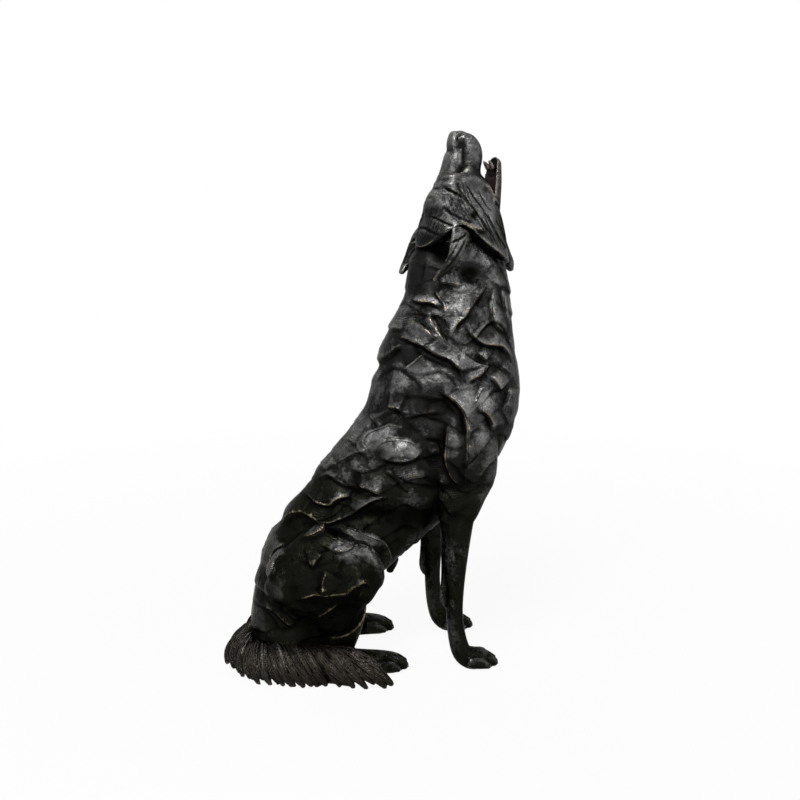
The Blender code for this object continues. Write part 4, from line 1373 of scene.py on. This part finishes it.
def floor_at(half):
    mesh = bpy.data.meshes.new("floor")
    corners = [(-half, -half, 0), (half, -half, 0), (half, half, 0), (-half, half, 0)]
    mesh.from_pydata(corners, [], [(0, 1, 2, 3)])
    floor = added("floor", mesh)
    paper = bpy.data.materials.new("white_paper")
    paper.use_nodes = True
    n = ShaderNodes(paper)
    shader = paper.node_tree.nodes["Principled BSDF"]
    shader.inputs["Base Color"].default_value = FLOOR_GREY
    shader.inputs["Roughness"].default_value = 0.9
    glow = n.node("ShaderNodeEmission", {"Color": WHITE, "Strength": 1.0})
    far_off = n.node("ShaderNodeVectorMath", {0: n.object_place()}, out="Value", operation="LENGTH")
    cover = n.spread(far_off, SHADOW_NEAR, SHADOW_FAR, 1 - SHADOW_SHARE, 1)
    share = n.math("MULTIPLY", n.seen_itself(), cover)
    mixed = n.node("ShaderNodeMixShader", {0: share, 1: shader.outputs[0], 2: glow})
    paper.node_tree.links.new(mixed, paper.node_tree.nodes["Material Output"].inputs["Surface"])
    floor.data.materials.append(paper)


def lamp_at(name, spot, size, power, target):
    light = bpy.data.lights.new(name, "AREA")
    light.shape = "RECTANGLE"
    light.size, light.size_y = size
    light.energy = power
    lamp = added(name, light)
    lamp.location = spot
    lamp.rotation_euler = (target - spot).to_track_quat("-Z", "Y").to_euler()


def room_light(strength):
    world = bpy.data.worlds.new("studio")
    world.use_nodes = True
    n = ShaderNodes(world)
    plain = world.node_tree.nodes["Background"]
    plain.inputs["Color"].default_value = WHITE
    plain.inputs["Strength"].default_value = strength
    white = n.node("ShaderNodeBackground", {"Color": WHITE, "Strength": 1.0})
    mixed = n.node("ShaderNodeMixShader", {0: n.seen_itself(), 1: plain.outputs[0], 2: white})
    world.node_tree.links.new(mixed, world.node_tree.nodes["World Output"].inputs["Surface"])
    bpy.context.scene.world = world


def camera_at(middle, studio):
    turn, rise = studio.azimuth, studio.elevation
    back = Vector((math.sin(turn) * math.cos(rise), -math.cos(turn) * math.cos(rise), math.sin(rise)))
    lens = bpy.data.cameras.new("camera")
    lens.sensor_width = SENSOR_WIDTH
    lens.lens = studio.lens
    camera = added("camera", lens)
    camera.location = middle + back * studio.distance
    camera.rotation_euler = (-back).to_track_quat("-Z", "Y").to_euler()
    bpy.context.scene.camera = camera


class VIEW3D_PT_wolf(bpy.types.Panel):
    bl_idname = "VIEW3D_PT_wolf"
    bl_label = "Howling wolf bronze"
    bl_space_type = "VIEW_3D"
    bl_region_type = "UI"
    bl_category = "Wolf"

    def draw(self, context):
        layout = self.layout
        for group, title in ((context.scene.wolf_detail, "Casting"), (context.scene.wolf_patina, "Patina"),
                             (context.scene.wolf_studio, "Studio")):
            box = layout.box()
            box.label(text=title)
            for key in group.bl_rna.properties.keys():
                if key not in ("rna_type", "name"):
                    box.prop(group, key)
        for made in OPERATORS:
            layout.operator(made.bl_idname)


OPERATORS = (OBJECT_OT_wolf_body, OBJECT_OT_wolf_head, OBJECT_OT_wolf_tail, OBJECT_OT_wolf_tail_hair,
             OBJECT_OT_wolf_head_hair, OBJECT_OT_wolf_plate_rims, OBJECT_OT_wolf_claws, OBJECT_OT_wolf_studio)
CLASSES = (WolfDetail, WolfPatina, WolfStudio, *OPERATORS, VIEW3D_PT_wolf)


def register():
    for each in CLASSES:
        bpy.utils.register_class(each)
    bpy.types.Scene.wolf_detail = bpy.props.PointerProperty(type=WolfDetail)
    bpy.types.Scene.wolf_patina = bpy.props.PointerProperty(type=WolfPatina)
    bpy.types.Scene.wolf_studio = bpy.props.PointerProperty(type=WolfStudio)


def unregister():
    del bpy.types.Scene.wolf_studio
    del bpy.types.Scene.wolf_patina
    del bpy.types.Scene.wolf_detail
    for each in reversed(CLASSES):
        bpy.utils.unregister_class(each)


def main():
    register()
    bpy.ops.object.wolf_body()
    bpy.ops.object.wolf_head()
    bpy.ops.object.wolf_tail()
    bpy.ops.object.wolf_tail_hair()
    bpy.ops.object.wolf_head_hair()
    bpy.ops.object.wolf_plate_rims()
    bpy.ops.object.wolf_claws()
    bpy.ops.object.wolf_studio()


if __name__ == "__main__":
    main()
